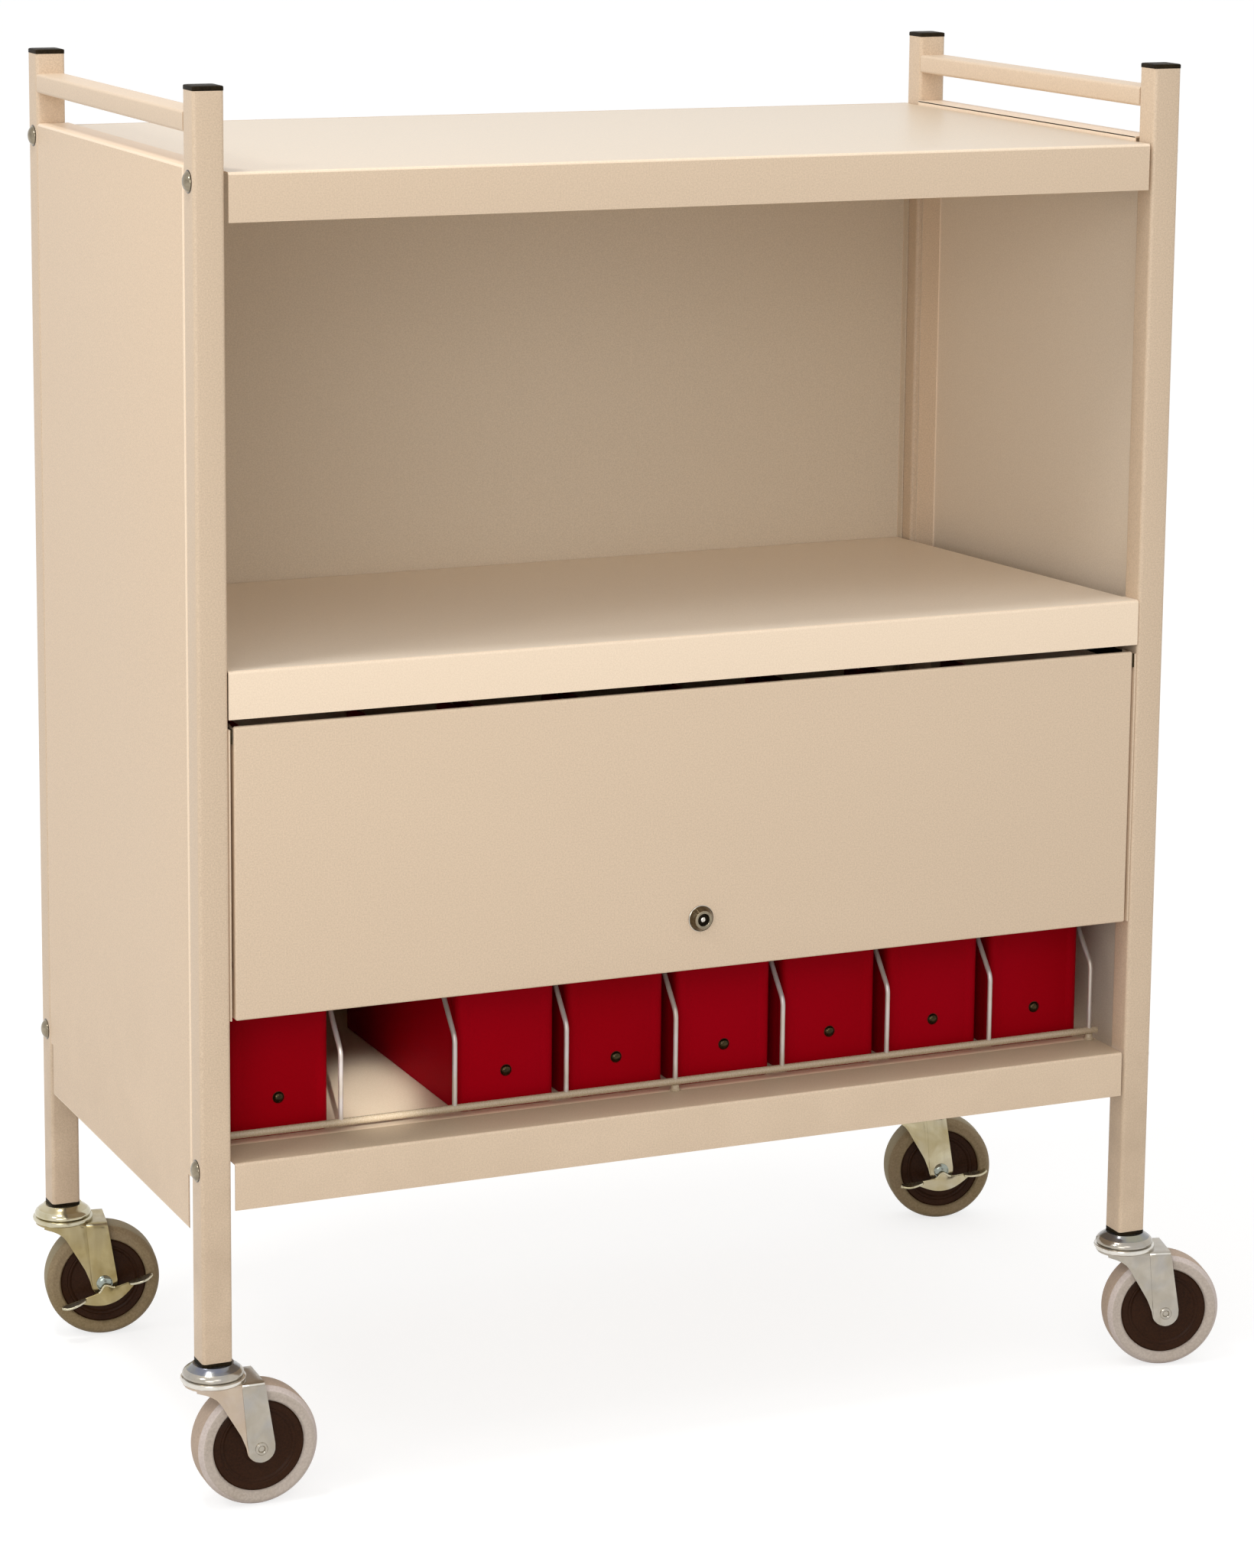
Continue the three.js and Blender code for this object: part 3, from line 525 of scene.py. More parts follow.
def addBevel(piece, width, segments, angle):
    bevel = piece.modifiers.new("edges", "BEVEL")
    bevel.width = width / 1000
    bevel.segments = segments
    bevel.limit_method = "ANGLE"
    bevel.angle_limit = math.radians(angle)
    return bevel


def addWall(piece, thick, even=False):
    wall = piece.modifiers.new("wall", "SOLIDIFY")
    wall.thickness = thick / 1000
    wall.offset = -1
    wall.use_even_offset = even


def keepFlat(piece):
    flat = piece.modifiers.new("flat", "WEIGHTED_NORMAL")
    flat.keep_sharp = True


def soften(piece, width, angle=40):  # small rounded edges with flat faces kept flat
    addBevel(piece, width, 2, angle)
    keepFlat(piece)


def largestFace(piece):
    return max(piece.data.polygons, key=lambda face: face.area)


def faceOut(piece, way, face):  # flips the sheet if this face looks the wrong way
    if face.normal.dot(way) < 0:
        piece.data.flip_normals()


def loft(bm, rings, startCap=True, endCap=True, closed=True):  # rings of points, joined in turn
    made = [[bm.verts.new(p) for p in ring] for ring in rings]
    count = len(made[0])
    for a, b in zip(made, made[1:]):
        for i in range(count if closed else count - 1):
            j = (i + 1) % count
            bm.faces.new((a[i], a[j], b[j], b[i]))
    if startCap:
        bm.faces.new(list(reversed(made[0])))
    if endCap:
        bm.faces.new(made[-1])


def slab(bm, x, y, z):  # a block between pairs of places
    corners = [(x[0], y[0]), (x[1], y[0]), (x[1], y[1]), (x[0], y[1])]
    loft(bm, [[Vector((cx, cy, cz)) for cx, cy in corners] for cz in z])


def squareRing(side, deep, corner, steps=6):  # rounded rectangle about the origin
    points = []
    for sx, sy, start in ((1, 1, 0), (-1, 1, 1), (-1, -1, 2), (1, -1, 3)):
        x, y = sx * (side / 2 - corner), sy * (deep / 2 - corner)
        for k in range(steps + 1):
            a = (start + k / steps) * math.pi / 2
            points.append((x + corner * math.cos(a), y + corner * math.sin(a)))
    return points


def lathe(bm, profile, matrix, segments):  # (radius, height) points turned about local Z
    rings = []
    for radius, height in profile:
        ring = []
        for k in range(segments):
            a = 2 * math.pi * k / segments
            ring.append(matrix @ Vector((radius * math.cos(a), radius * math.sin(a), height)))
        rings.append(ring)
    first, last = profile[0], profile[-1]
    if first == last:
        rings[-1] = rings[0]
        loft(bm, rings, False, False)
    else:
        loft(bm, rings, first[0] > 1e-4, last[0] > 1e-4)


def latheShape(name, profile, matrix, segments, angle, *finishes):
    bm = bmesh.new()
    lathe(bm, profile, matrix, segments)
    return shaped(name, bm, angle, *finishes)


def rodShape(bm, start, end, radius, segments, chamfer):  # bar with slightly broken ends
    along = end - start
    matrix = Matrix.Translation(start) @ along.to_track_quat("Z", "Y").to_matrix().to_4x4()
    r, c, length = radius / 1000, chamfer / 1000, along.length
    lathe(bm, [(r - c, 0), (r, c), (r, length - c), (r - c, length)], matrix, segments)


def cutAway(piece, name, fill, cuts):  # fill makes the shape of each cut
    tools = []
    for k, cut in enumerate(cuts):
        bm = bmesh.new()
        fill(bm, *cut)
        tool = linkShape(f"{name}{k}", bm)
        away = piece.modifiers.new(f"{name}{k}", "BOOLEAN")
        away.operation = "DIFFERENCE"
        away.solver = "EXACT"
        away.object = tool
        tools.append(tool)
    return tools


def drill(piece, *holes):  # each hole is (start, end, radius in mm)
    return cutAway(piece, "hole", rodShape, [(*hole, 28, 0.01) for hole in holes])


def notch(piece, *blocks):  # each block is pairs of places in x, y and z
    return cutAway(piece, "notch", slab, blocks)


def bendSheet(piece, outward, fold, sheet):  # rounded folds in their own finish, a painted highlight where that is the lighter coat, and the sheet's thickness
    faceOut(piece, outward, largestFace(piece))
    addBevel(piece, fold, 5, 30).material = 1
    addWall(piece, sheet, True)
    keepFlat(piece)
    return piece


def foldedPan(name, corners, inward, depths, fold, sheet, finish, edge):
    # a sheet with its edges folded over; depths[i] belongs to the edge from corner i to the next
    bm = bmesh.new()
    count = len(corners)
    tops = [bm.verts.new(c) for c in corners]
    legs = []
    for i in range(count):
        steps = sorted({depths[i], depths[i - 1]})
        legs.append({d: bm.verts.new(corners[i] + inward * (d / 1000)) for d in steps})
    bm.faces.new(tops)
    for i in range(count):
        j = (i + 1) % count
        down = [legs[j][d] for d in sorted(legs[j]) if d <= depths[i]]
        up = [legs[i][d] for d in sorted(legs[i], reverse=True) if d <= depths[i]]
        bm.faces.new([tops[i], *up[::-1], *down[::-1], tops[j]])
    return bendSheet(linkShape(name, bm, finish, edge), -inward, fold, sheet)


def foldedStrip(name, lofts, outward, fold, sheet, finish, edge):  # a bent sheet; each loft is rows of points across it
    bm = bmesh.new()
    for rows in lofts:
        loft(bm, rows, False, False, False)
    return bendSheet(linkShape(name, bm, finish, edge), outward, fold, sheet)


def joinPieces(main, *others):
    bm = bmesh.new()
    bm.from_mesh(main.data)
    for other in others:
        base = len(main.data.materials)
        extra = bmesh.new()
        extra.from_mesh(other.data)
        for face in extra.faces:
            face.material_index += base
        spare = bpy.data.meshes.new("spare")
        extra.to_mesh(spare)
        extra.free()
        bm.from_mesh(spare)
        bpy.data.meshes.remove(spare)
        for finish in other.data.materials:
            main.data.materials.append(finish)
        bpy.data.objects.remove(other)
    bm.to_mesh(main.data)
    bm.free()


# geometry node helpers

def newTree(name, inputs):
    tree = bpy.data.node_groups.new(name, "GeometryNodeTree")
    for label, kind in {"Geometry": "Geometry", **inputs, "Finish": "Material"}.items():
        tree.interface.new_socket(label, in_out="INPUT", socket_type=f"NodeSocket{kind}")
    tree.interface.new_socket("Geometry", in_out="OUTPUT", socket_type="NodeSocketGeometry")
    return tree, tree.nodes.new("NodeGroupInput").outputs


def pointRow(tree, given, count):
    offset = addNode(tree, "ShaderNodeCombineXYZ", X=given["Pitch"])
    return addNode(tree, "GeometryNodeMeshLine", Count=count, Offset=offset.outputs[0]).outputs[0]


def copyTo(tree, given, **inputs):  # the copies become mesh and take their finish
    copies = addNode(tree, "GeometryNodeInstanceOnPoints", **inputs)
    real = addNode(tree, "GeometryNodeRealizeInstances", Geometry=copies.outputs[0])
    smooth = addNode(tree, "GeometryNodeSetShadeSmooth", Geometry=real.outputs[0])
    paint = addNode(tree, "GeometryNodeSetMaterial", Geometry=smooth.outputs[0], Material=given["Finish"])
    addNode(tree, "NodeGroupOutput", Geometry=paint.outputs[0])
    return tree


def runTree(piece, tree, values, angle):
    modifier = piece.modifiers.new(tree.name, "NODES")
    modifier.node_group = tree
    for item in tree.interface.items_tree:
        if item.item_type == "SOCKET" and item.in_out == "INPUT" and item.name in values:
            modifier[item.identifier] = values[item.name]
    settle(piece, angle)


# posts, caps and grip rails

postStyle = {"side": 25.4, "corner": 3.2, "wall": 1.5}
capStyle = {"side": 25.4, "corner": 2.2, "height": 3.6, "plug": 21.8, "plugCorner": 1.6, "plugDepth": 15, "seat": 0.1}
railStyle = {"wide": 25.4, "tall": 16.5, "corner": 2.6, "wall": 1.5, "reach": 0.2}


def tubeShape(wide, tall, style, ends, place):  # hollow; place puts (across, up, along) into the rack
    wall, (start, end) = style["wall"], ends
    outer = squareRing(wide, tall, style["corner"])
    inner = squareRing(wide - 2 * wall, tall - 2 * wall, style["corner"] - wall)
    levels = [(outer, start), (outer, end), (inner, end), (inner, start), (outer, start)]
    bm = bmesh.new()
    loft(bm, [[place(u, v, w) for u, v in ring] for ring, w in levels], False, False)
    return bm


def capRings(style):  # (across, corner, height) from the plug's foot to the crown
    wide, bend, top = style["side"], style["corner"], style["height"]
    plug, plugBend, deep, seat = style["plug"], style["plugCorner"], style["plugDepth"], style["seat"]
    return [
        (plug - 1, plugBend - 0.2, -deep), (plug, plugBend, 2 - deep), (plug, plugBend, seat), (wide, bend, seat),
        (wide, bend, top - 0.8), (wide - 0.4, bend, top - 0.3), (wide - 1.2, bend, top), (wide - 4, bend, top + 0.25),
        (wide - 12, plugBend, top + 0.4),
    ]


def postPiece(end, side):
    node = f"{end}_{side}_post"
    low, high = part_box(node)
    mid = (low + high) / 2

    def upright(x, y, z):
        return Vector((mid.x + x / 1000, mid.y + y / 1000, z))

    bm = tubeShape(postStyle["side"], postStyle["side"], postStyle, (low.z, high.z), upright)
    post = shaped(f"{end}-{side}-post-tube", bm, 50, postCoat)
    give(post, "frame", "powder_coat", node)
    bm = bmesh.new()
    loft(bm, [[upright(x, y, high.z + z / 1000) for x, y in squareRing(w, w, c)] for w, c, z in capRings(capStyle)])
    cap = shaped(f"{end}-{side}-post-cap", bm, 50, blackPlastic)
    give(cap, "frame", "black_plastic", f"{node}_cap")


def railPiece(side):
    low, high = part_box(f"{side}_top_rail")
    mid = (low + high) / 2
    reach = railStyle["reach"] / 1000  # up to the posts

    def level(x, z, y):
        return Vector((mid.x + x / 1000, y, mid.z + z / 1000))

    bm = tubeShape(railStyle["wide"], railStyle["tall"], railStyle, (low.y - reach, high.y + reach), level)
    rail = shaped(f"{side}-grip-rail", bm, 50, powderCoat)
    give(rail, "frame", "powder_coat", f"{side}_top_rail")


for end in ("front", "rear"):
    for side in ("left", "right"):
        postPiece(end, side)
for side in ("left", "right"):
    railPiece(side)
print("posts, caps and grip rails made")


# shelves, side panels, back and door tracks

shelfStyle = {
    "sheet": 1.2, "half": 406.6, "lip": 24, "strip": 46, "sideStart": 184,
    "top": {"flange": 39, "rear": 39, "side": 39, "fall": 0, "fold": 2.2, "lipHalf": 406.6},
    "middle": {"flange": 39, "rear": 18, "side": 18, "fall": 20, "fold": 2.8, "lipHalf": 409.3},
    "bottom": {"flange": 39, "rear": 39, "side": 39, "fall": 0, "fold": 2.2, "lipHalf": 406.6},
}
panelStyle = {
    "sheet": 1.2, "fold": 2.2, "top": 27.4, "returns": 20, "foot": 4, "reach": 199.4,
    "hem": 10, "hemSheet": 1.1, "hemDrop": 0.3, "hemInset": 1.0,
    "notchWide": 8, "notchTall": 46, "footTrim": 32, "past": 10, "through": 60,
}
backStyle = {"sheet": 1.1, "fold": 1.6, "half": 409.3, "returns": 9, "foldDeep": 2}
trackStyle = {
    "face": 1.4, "depth": 19, "wall": 1.1, "ledge": 1.5, "slot": 4.4, "stop": 1.4, "edge": 0.25,
    "hole": 3.8, "boltBack": 10, "boltHeight": 452, "front": -225, "through": 10,
}


def metres(style):
    return {name: value / 1000 for name, value in style.items()}


def shelfPiece(name, level, face, surface, lip, edge):  # the side flanges stop behind the posts
    node = f"{level}_shelf"
    low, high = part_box(node)
    style, sheet, half = shelfStyle[level], shelfStyle["sheet"] / 1000, shelfStyle["half"]

    def fallen(y):
        return high.z - style["fall"] / 1000 * (y - low.y) / (high.y - low.y)

    def row(widths, y, z):
        return [Vector((rackMid.x + w / 1000, y, z)) for w in widths]

    lipY, stripY = low.y + shelfStyle["lip"] / 1000, low.y + shelfStyle["strip"] / 1000
    wide, narrow = (-style["lipHalf"], style["lipHalf"]), (-half, half)
    if style["lipHalf"] > half:
        wide = (wide[0], *narrow, wide[1])
    front = [row(wide, low.y, high.z - style["flange"] / 1000), row(wide, low.y, high.z)]
    front.append(row(wide, lipY, fallen(lipY)))
    rest = [row(narrow, y, fallen(y)) for y in (lipY, stripY, high.y)]
    rest.append(row(narrow, high.y, fallen(high.y) - style["rear"] / 1000))
    up = Vector((0, 0, 1))
    piece = settle(foldedStrip(name, [front, rest], up, style["fold"], shelfStyle["sheet"], face, edge))
    # upward faces take the given top finish, those over the front strip the given strip finish: copies of the coat with
    # painted light, and painted shade on the bottom shelf's strip
    paintFaces(piece, lambda f: (3 if f.center.y < stripY else 2) if f.normal.z > 0.95 else None, surface, lip)
    reach = shelfStyle["sideStart"]
    for sign in (-1, 1):
        bm = bmesh.new()
        outer, inner = (rackMid.x + sign * (half / 1000 - inset) for inset in (0, sheet))
        rings = []
        for y in (at(0, -reach, 0).y, at(0, reach, 0).y):
            top = fallen(y) - sheet
            foot = top - style["side"] / 1000 + sheet
            rings.append([Vector((x, y, z)) for x, z in ((outer, top), (inner, top), (inner, foot), (outer, foot))])
        loft(bm, rings)
        joinPieces(piece, linkShape("side-flange", bm, face))
    give(piece, "frame", "powder_coat", node)


def panelPiece(side, sign):
    low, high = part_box(f"{side}_side_panel")
    size = metres(panelStyle)
    x = low.x if sign < 0 else high.x
    y0, y1 = at(0, -panelStyle["reach"], 0).y, at(0, panelStyle["reach"], 0).y
    corners = [Vector((x, y, z)) for y, z in ((y0, high.z), (y1, high.z), (y1, low.z), (y0, low.z))]
    depths = [panelStyle[edge] for edge in ("top", "returns", "foot", "returns")]
    # the outer face takes the lighter panel coat, painted light, and the folds the lighter coat, a painted highlight
    panel = foldedPan(
        f"{side}-side-skin", corners, Vector((-sign, 0, 0)), depths, panelStyle["fold"], panelStyle["sheet"],
        litPanelCoat, highlightCoat,
    )
    past, wide, trim = size["past"], size["notchWide"], size["footTrim"]
    acrossX = (x - size["through"], x + size["through"])
    inside = sorted((x - sign * size["sheet"], x - sign * size["through"]))
    upZ, footZ = (low.z - past, low.z + size["notchTall"]), (low.z - past, low.z + size["fold"])
    tools = notch(
        panel, (acrossX, (y0 - past, y0 + wide), upZ), (acrossX, (y1 - wide, y1 + past), upZ),
        (inside, (y0 - past, y0 + trim), footZ), (inside, (y1 - trim, y1 + past), footZ),
    )
    settle(panel, 40, tools)

    def finishOf(face):  # the face that looks into the bays takes the lighter bay coat, painted light against the bay's shade, and the flange under the rail the lighter coat, painted light where the rail's shadow falls
        return 2 if face.normal.x * sign < -0.9 else 1 if face.normal.z > 0.9 else None

    # the faces inside the bays take the lighter side bay coat: painted light
    paintFaces(panel, finishOf, litSideBayCoat)
    inner, inset = x - sign * size["top"], size["hemInset"]
    bm = bmesh.new()
    slab(
        bm, (inner, inner + sign * size["hemSheet"]), (y0 + inset, y1 - inset),
        (high.z - size["hem"], high.z - size["hemDrop"]),
    )
    # the hem under the panel's top fold takes the lighter coat too: painted highlight
    joinPieces(panel, linkShape(f"{side}-hem", bm, highlightCoat))
    give(panel, "frame", "powder_coat", f"{side}_side_panel")


def backPiece():
    low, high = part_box("back_panel")
    half = backStyle["half"] / 1000
    edgeY = high.y - backStyle["returns"] / 1000
    plan = ((-half, edgeY), (-half, high.y), (half, high.y), (half, edgeY))
    rows = [[Vector((rackMid.x + x, y, z)) for z in (low.z, high.z)] for x, y in plan]
    away = Vector((0, 1, 0))
    back = foldedStrip("back-skin", [rows], away, backStyle["fold"], backStyle["sheet"], powderCoat, powderCoat)
    settle(back)

    # the faces that look into the bay, and the returns, take the lighter bay coat: painted light against the bay's
    # shade
    def finishOf(face):
        onReturn = abs(face.normal.x) > 0.9 and face.center.y < high.y - backStyle["foldDeep"] / 1000
        return 2 if face.normal.y < -0.9 or onReturn else None

    paintFaces(back, finishOf, litBayCoat)
    give(back, "frame", "powder_coat", "back_panel")


def trackPiece(side, sign):  # a slotted channel for the pivot rod behind a narrow jamb
    node = f"{side}_door_track"
    low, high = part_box(node)
    outer, inner = (high.x, low.x) if sign > 0 else (low.x, high.x)
    size = metres(trackStyle)
    wall, face = outer - sign * size["wall"], outer - sign * size["face"]
    ledgeTop = high.z - size["ledge"]
    ledgeLow = ledgeTop - 2 * size["slot"]
    foot = ledgeLow - size["ledge"]
    stop = joints["door_flip"]["pos_m"][1] - size["slot"]
    start = stop - size["stop"]
    bm = bmesh.new()
    slab(bm, (face, outer), (low.y, low.y + size["depth"]), (low.z, high.z))
    track = linkShape(f"{side}-door-track", bm, powderCoat)
    middle = Vector((outer, at(0, trackStyle["front"], 0).y + size["boltBack"], size["boltHeight"]))
    through = Vector((size["through"], 0, 0))
    tools = drill(track, (middle - through, middle + through, trackStyle["hole"]))
    soften(track, trackStyle["edge"])
    settle(track, 40, tools)
    bm = bmesh.new()
    slab(bm, (wall, outer), (low.y + size["depth"], high.y), (foot, high.z))
    for z in ((ledgeTop, high.z), (foot, ledgeLow)):
        slab(bm, (inner, wall), (start, high.y), z)
    slab(bm, (inner, face), (start, stop), (ledgeLow, ledgeTop))
    # the channel is dark metal: painted shade in the gap beside the door
    joinPieces(track, shaped("track-channel", bm, 40, darkBronze))
    give(track, "frame", "powder_coat", node)


# the top shelf: the paler coat on its upward faces and the lighter coat on its folds, both painted light
shelfPiece("top-shelf-pan", "top", powderCoat, litTopCoat, litTopCoat, highlightCoat)
# the middle shelf: the lighter coat on its flange and folds and the lighter shelf coat on its top, both painted light
shelfPiece("middle-shelf-pan", "middle", highlightCoat, litShelfCoat, litShelfCoat, highlightCoat)
# the bottom shelf: the lighter tray coat on its top, painted light, and the darker lip coat on its front strip, painted
# shade
shelfPiece("bottom-shelf-pan", "bottom", powderCoat, litTrayCoat, shadedLipCoat, powderCoat)
for side, sign in (("left", -1), ("right", 1)):
    panelPiece(side, sign)
backPiece()
for side, sign in (("left", -1), ("right", 1)):
    trackPiece(side, sign)
print("shelves and panels made")


# door with its lock, rods and pivot

doorStyle = {
    "sheet": 1.2, "fold": 1.8, "returns": 16, "topReturn": 3.6, "pivotHole": 4.3, "rodHole": 3.4, "lockHole": 9.8,
    "rodRadius": 3, "past": 10,
}
lockStyle = {
    "bezel": [
        (5.2, -1.0), (5.2, 6.5), (5.5, 6.9), (6.9, 7.0), (7.5, 6.7), (7.7, 6.2), (8.3, 5.2), (9.4, 3.4), (10.0, 2.3),
        (10.3, 1.7), (10.9, 1.5), (11.3, 1.1), (11.3, 0.1), (9.4, 0.1), (9.4, -1.4), (12.9, -1.4), (12.9, -6.2),
        (9.4, -6.4), (9.4, -16.9), (5.9, -16.9), (5.9, -2.0), (5.2, -1.0),
    ],
    "bandFrom": 1.6, "rimWide": 7.6,  # the band's foot, and the radius of the lighter rim; band and rim are painted reflections
    "plug": [
        (0.0, 6.0), (1.5, 6.0), (2.1, 5.6), (2.3, 4.6), (4.4, 4.4), (4.9, 4.2), (5.0, 3.6), (5.0, -17.2), (0.0, -17.2),
    ],
    # the plug's face outside its centre is black: painted shade in the keyway
    "darkFrom": 3.0, "darkWide": 2.1,
    "camWide": 12, "camLong": 36, "camThick": 2.5, "camBack": -17.3, "camCorner": 5.99,
}

low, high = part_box("door_panel")
corners = [Vector((x, low.y, z)) for x, z in ((low.x, high.z), (high.x, high.z), (high.x, low.z), (low.x, low.z))]
depths = [doorStyle["topReturn"]] + [doorStyle["returns"]] * 3
inward = Vector((0, 1, 0))
door = foldedPan(
    "door-leaf", corners, inward, depths, doorStyle["fold"], doorStyle["sheet"], powderCoat, powderCoat,
)
pivotPlace, lockPlace = Vector(joints["door_flip"]["pos_m"]), Vector(joints["lock_turn"]["pos_m"])
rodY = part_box("left_lock_rod")[0].y + doorStyle["rodRadius"] / 1000
past = doorStyle["past"] / 1000
holes = []
for y, z, hole in ((pivotPlace.y, pivotPlace.z, "pivotHole"), (rodY, lockPlace.z, "rodHole")):
    holes.append((Vector((low.x - past, y, z)), Vector((high.x + past, y, z)), doorStyle[hole]))
holes.append((lockPlace - inward * past, lockPlace + inward * past, doorStyle["lockHole"]))
settle(door, 40, drill(door, *holes))
give(door, "door", "powder_coat", "door_panel")

outFront = Matrix.Translation(lockPlace) @ Matrix.Rotation(math.radians(90), 4, "X") @ Matrix.Scale(0.001, 4)
toLock = outFront.inverted()


def bezelFinish(face):
    spot = toLock @ face.center
    if spot.z > lockStyle["bandFrom"]:
        return 1 if spot.xy.length > lockStyle["rimWide"] else 2


def plugFinish(face):
    spot = toLock @ face.center
    return 1 if spot.z > lockStyle["darkFrom"] and spot.xy.length > lockStyle["darkWide"] else None


# the bezel's band and rim take darker copies of the metal: painted reflections
bezel = latheShape("lock-bezel", lockStyle["bezel"], outFront, 72, 30, lockChrome, bezelMetal, rimMetal)
paintFaces(bezel, bezelFinish)
give(bezel, "door", "lock_chrome", "lock_body")

bm = bmesh.new()
lathe(bm, lockStyle["plug"], outFront, 48)
camRing = squareRing(lockStyle["camWide"], lockStyle["camLong"], lockStyle["camCorner"], 8)
camEnds = (lockStyle["camBack"], lockStyle["camBack"] - lockStyle["camThick"])
loft(bm, [[outFront @ Vector((x, y, z)) for x, y in camRing] for z in camEnds])
plug = shaped("lock-plug", bm, 30, lockChrome, blackPlastic)
# the black ring on the plug's face: painted shade
paintFaces(plug, plugFinish)
give(plug, "lock_cylinder", "lock_chrome", "lock_plug")

for node, body in (
    ("left_lock_rod", "left_bolt"), ("right_lock_rod", "right_bolt"), ("door_pivot_rod", "door_carriage"),
):
    low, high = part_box(node)
    mid = (low + high) / 2
    ends = [Vector((x, mid.y, mid.z)) for x in (low.x, high.x)]
    bm = bmesh.new()
    rodShape(bm, *ends, (high.y - low.y) * 500, 24, 0.6)
    rod = shaped(node.replace("_", "-"), bm, 30, brightZinc)
    give(rod, body, "zinc_plate", node)
print("door and lock made")


# wire rack: two rods and a row of bent dividers

rackStyle = {
    "rodRadius": 3.1, "rodDrop": 2.75, "feet": (-400, 0, 400),
    "foot": [(4.5, 0), (4.5, 1.2), (3.7, 2.0), (3.3, 5.0), (0, 5.4)],
    "wire": 2.1, "bend": 14, "count": 9, "pitch": 100, "firstX": -400,
    "route": ((-178, 300.2), (-178, 358), (-90, 458), (150, 458), (150, 300.2)),
}

for node in ("rack_front_rod", "rack_rear_rod"):
    low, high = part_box(node)
    mid = (low + high) / 2
    axisZ = high.z - rackStyle["rodDrop"] / 1000
    bm = bmesh.new()
    rodShape(bm, *[Vector((x, mid.y, axisZ)) for x in (low.x, high.x)], rackStyle["rodRadius"], 20, 0.6)
    for x in rackStyle["feet"]:
        place = Vector((at(x, 0, 0).x, mid.y, low.z))
        lathe(bm, rackStyle["foot"], Matrix.Translation(place) @ Matrix.Scale(0.001, 4), 24)
    # the rods take the darker rod coat: painted shade
    rod = shaped(node.replace("_", "-"), bm, 35, rodCoat)
    give(rod, "frame", "wire_coat", node)


def dividerTree():
    inputs = {"Wire Radius": "Float", "Bend Radius": "Float", "Count": "Int", "Pitch": "Float"}
    tree, given = newTree("dividerRow", inputs)
    path = addNode(tree, "GeometryNodeMeshToCurve", Mesh=given["Geometry"])
    bent = addNode(
        tree, "GeometryNodeFilletCurve", settings={"mode": "POLY"}, Curve=path.outputs[0], Count=7,
        Radius=given["Bend Radius"], Limit_Radius=True,
    )
    section = addNode(tree, "GeometryNodeCurvePrimitiveCircle", Resolution=14, Radius=given["Wire Radius"])
    wire = addNode(
        tree, "GeometryNodeCurveToMesh", Curve=bent.outputs[0], Profile_Curve=section.outputs["Curve"], Fill_Caps=True,
    )
    return copyTo(tree, given, Points=pointRow(tree, given, given["Count"]), Instance=wire.outputs[0])


route = [at(rackStyle["firstX"], y, z) for y, z in rackStyle["route"]]
mesh = bpy.data.meshes.new("divider")
mesh.from_pydata(route, [(k, k + 1) for k in range(len(route) - 1)], [])
dividers = linkMesh("wire-dividers", mesh)
runTree(dividers, dividerTree(), {
    "Wire Radius": rackStyle["wire"] / 1000, "Bend Radius": rackStyle["bend"] / 1000, "Count": rackStyle["count"],
    "Pitch": rackStyle["pitch"] / 1000, "Finish": wirePlate,
}, 50)
give(dividers, "frame", "wire_coat", *[f"divider_{k + 1}" for k in range(rackStyle["count"])])
print("wire rack made")


# binders

binderStyle = {
    "width": 87, "depth": 265, "height": 292, "board": 2.8, "corner": 6, "front": -167, "foot": 290.2, "edge": 0.7,
    "hinge": 5.5, "hingeHalf": 1.6, "hingeDip": 0.35, "groove": 15, "grooveHalf": 3, "grooveDip": 0.9,
    "slots": 8, "empty": 1,
}


def binderOutline(style):  # seen from above: one board, the spine, the other board
    half, r, deep = style["width"] / 2, style["corner"], style["depth"]
    groove, reach = style["groove"], style["grooveHalf"]
    rightSide = [
        (half, deep), (half, deep * 0.5), (half, groove + reach), (half - style["grooveDip"], groove),
        (half, groove - reach),
    ]
    for k in range(7):
        a = math.pi / 2 * k / 6
        rightSide.append((half - r + r * math.cos(a), r - r * math.sin(a)))
    h, reach = half - r - style["hinge"], style["hingeHalf"]
    rightSide += [(h + reach, 0.0), (h, style["hingeDip"]), (h - reach, 0.0)]
    return rightSide + [(-x, y) for x, y in reversed(rightSide)]


def binderTree():
    tree, given = newTree("binderRow", {"Slots": "Int", "Empty Slot": "Int", "Pitch": "Float"})
    index = addNode(tree, "GeometryNodeInputIndex").outputs[0]
    same = addNode(
        tree, "FunctionNodeCompare", None, None, index, given["Empty Slot"],
        settings={"data_type": "INT", "operation": "EQUAL"},
    )
    row = pointRow(tree, given, given["Slots"])
    leave = addNode(tree, "GeometryNodeDeleteGeometry", Geometry=row, Selection=same.outputs[0])
    return copyTo(tree, given, Points=leave.outputs[0], Instance=given["Geometry"])


outline = binderOutline(binderStyle)
startX = (0.5 - binderStyle["slots"] / 2) * rackStyle["pitch"]
front, foot, tall = binderStyle["front"], binderStyle["foot"], binderStyle["height"]
bm = bmesh.new()
heights = (0, 2, 40, 110, tall - 2, tall)
loft(bm, [[at(startX + x, front + y, foot + z) for x, y in outline] for z in heights], False, False, False)
binders = linkShape("chart-binders", bm, redVinyl)
face = largestFace(binders)
faceOut(binders, face.center - at(startX, 0, face.center.z * 1000), face)
addWall(binders, binderStyle["board"], True)
soften(binders, binderStyle["edge"], 60)
settle(binders, 35)
runTree(binders, binderTree(), {
    "Slots": binderStyle["slots"], "Empty Slot": binderStyle["empty"], "Pitch": rackStyle["pitch"] / 1000,
    "Finish": redVinyl,
}, 35)
give(binders, "frame", "red_vinyl", *[f"chart_binder_{k + 1}" for k in range(7)])
print("binders made")


# domed screws and rivets

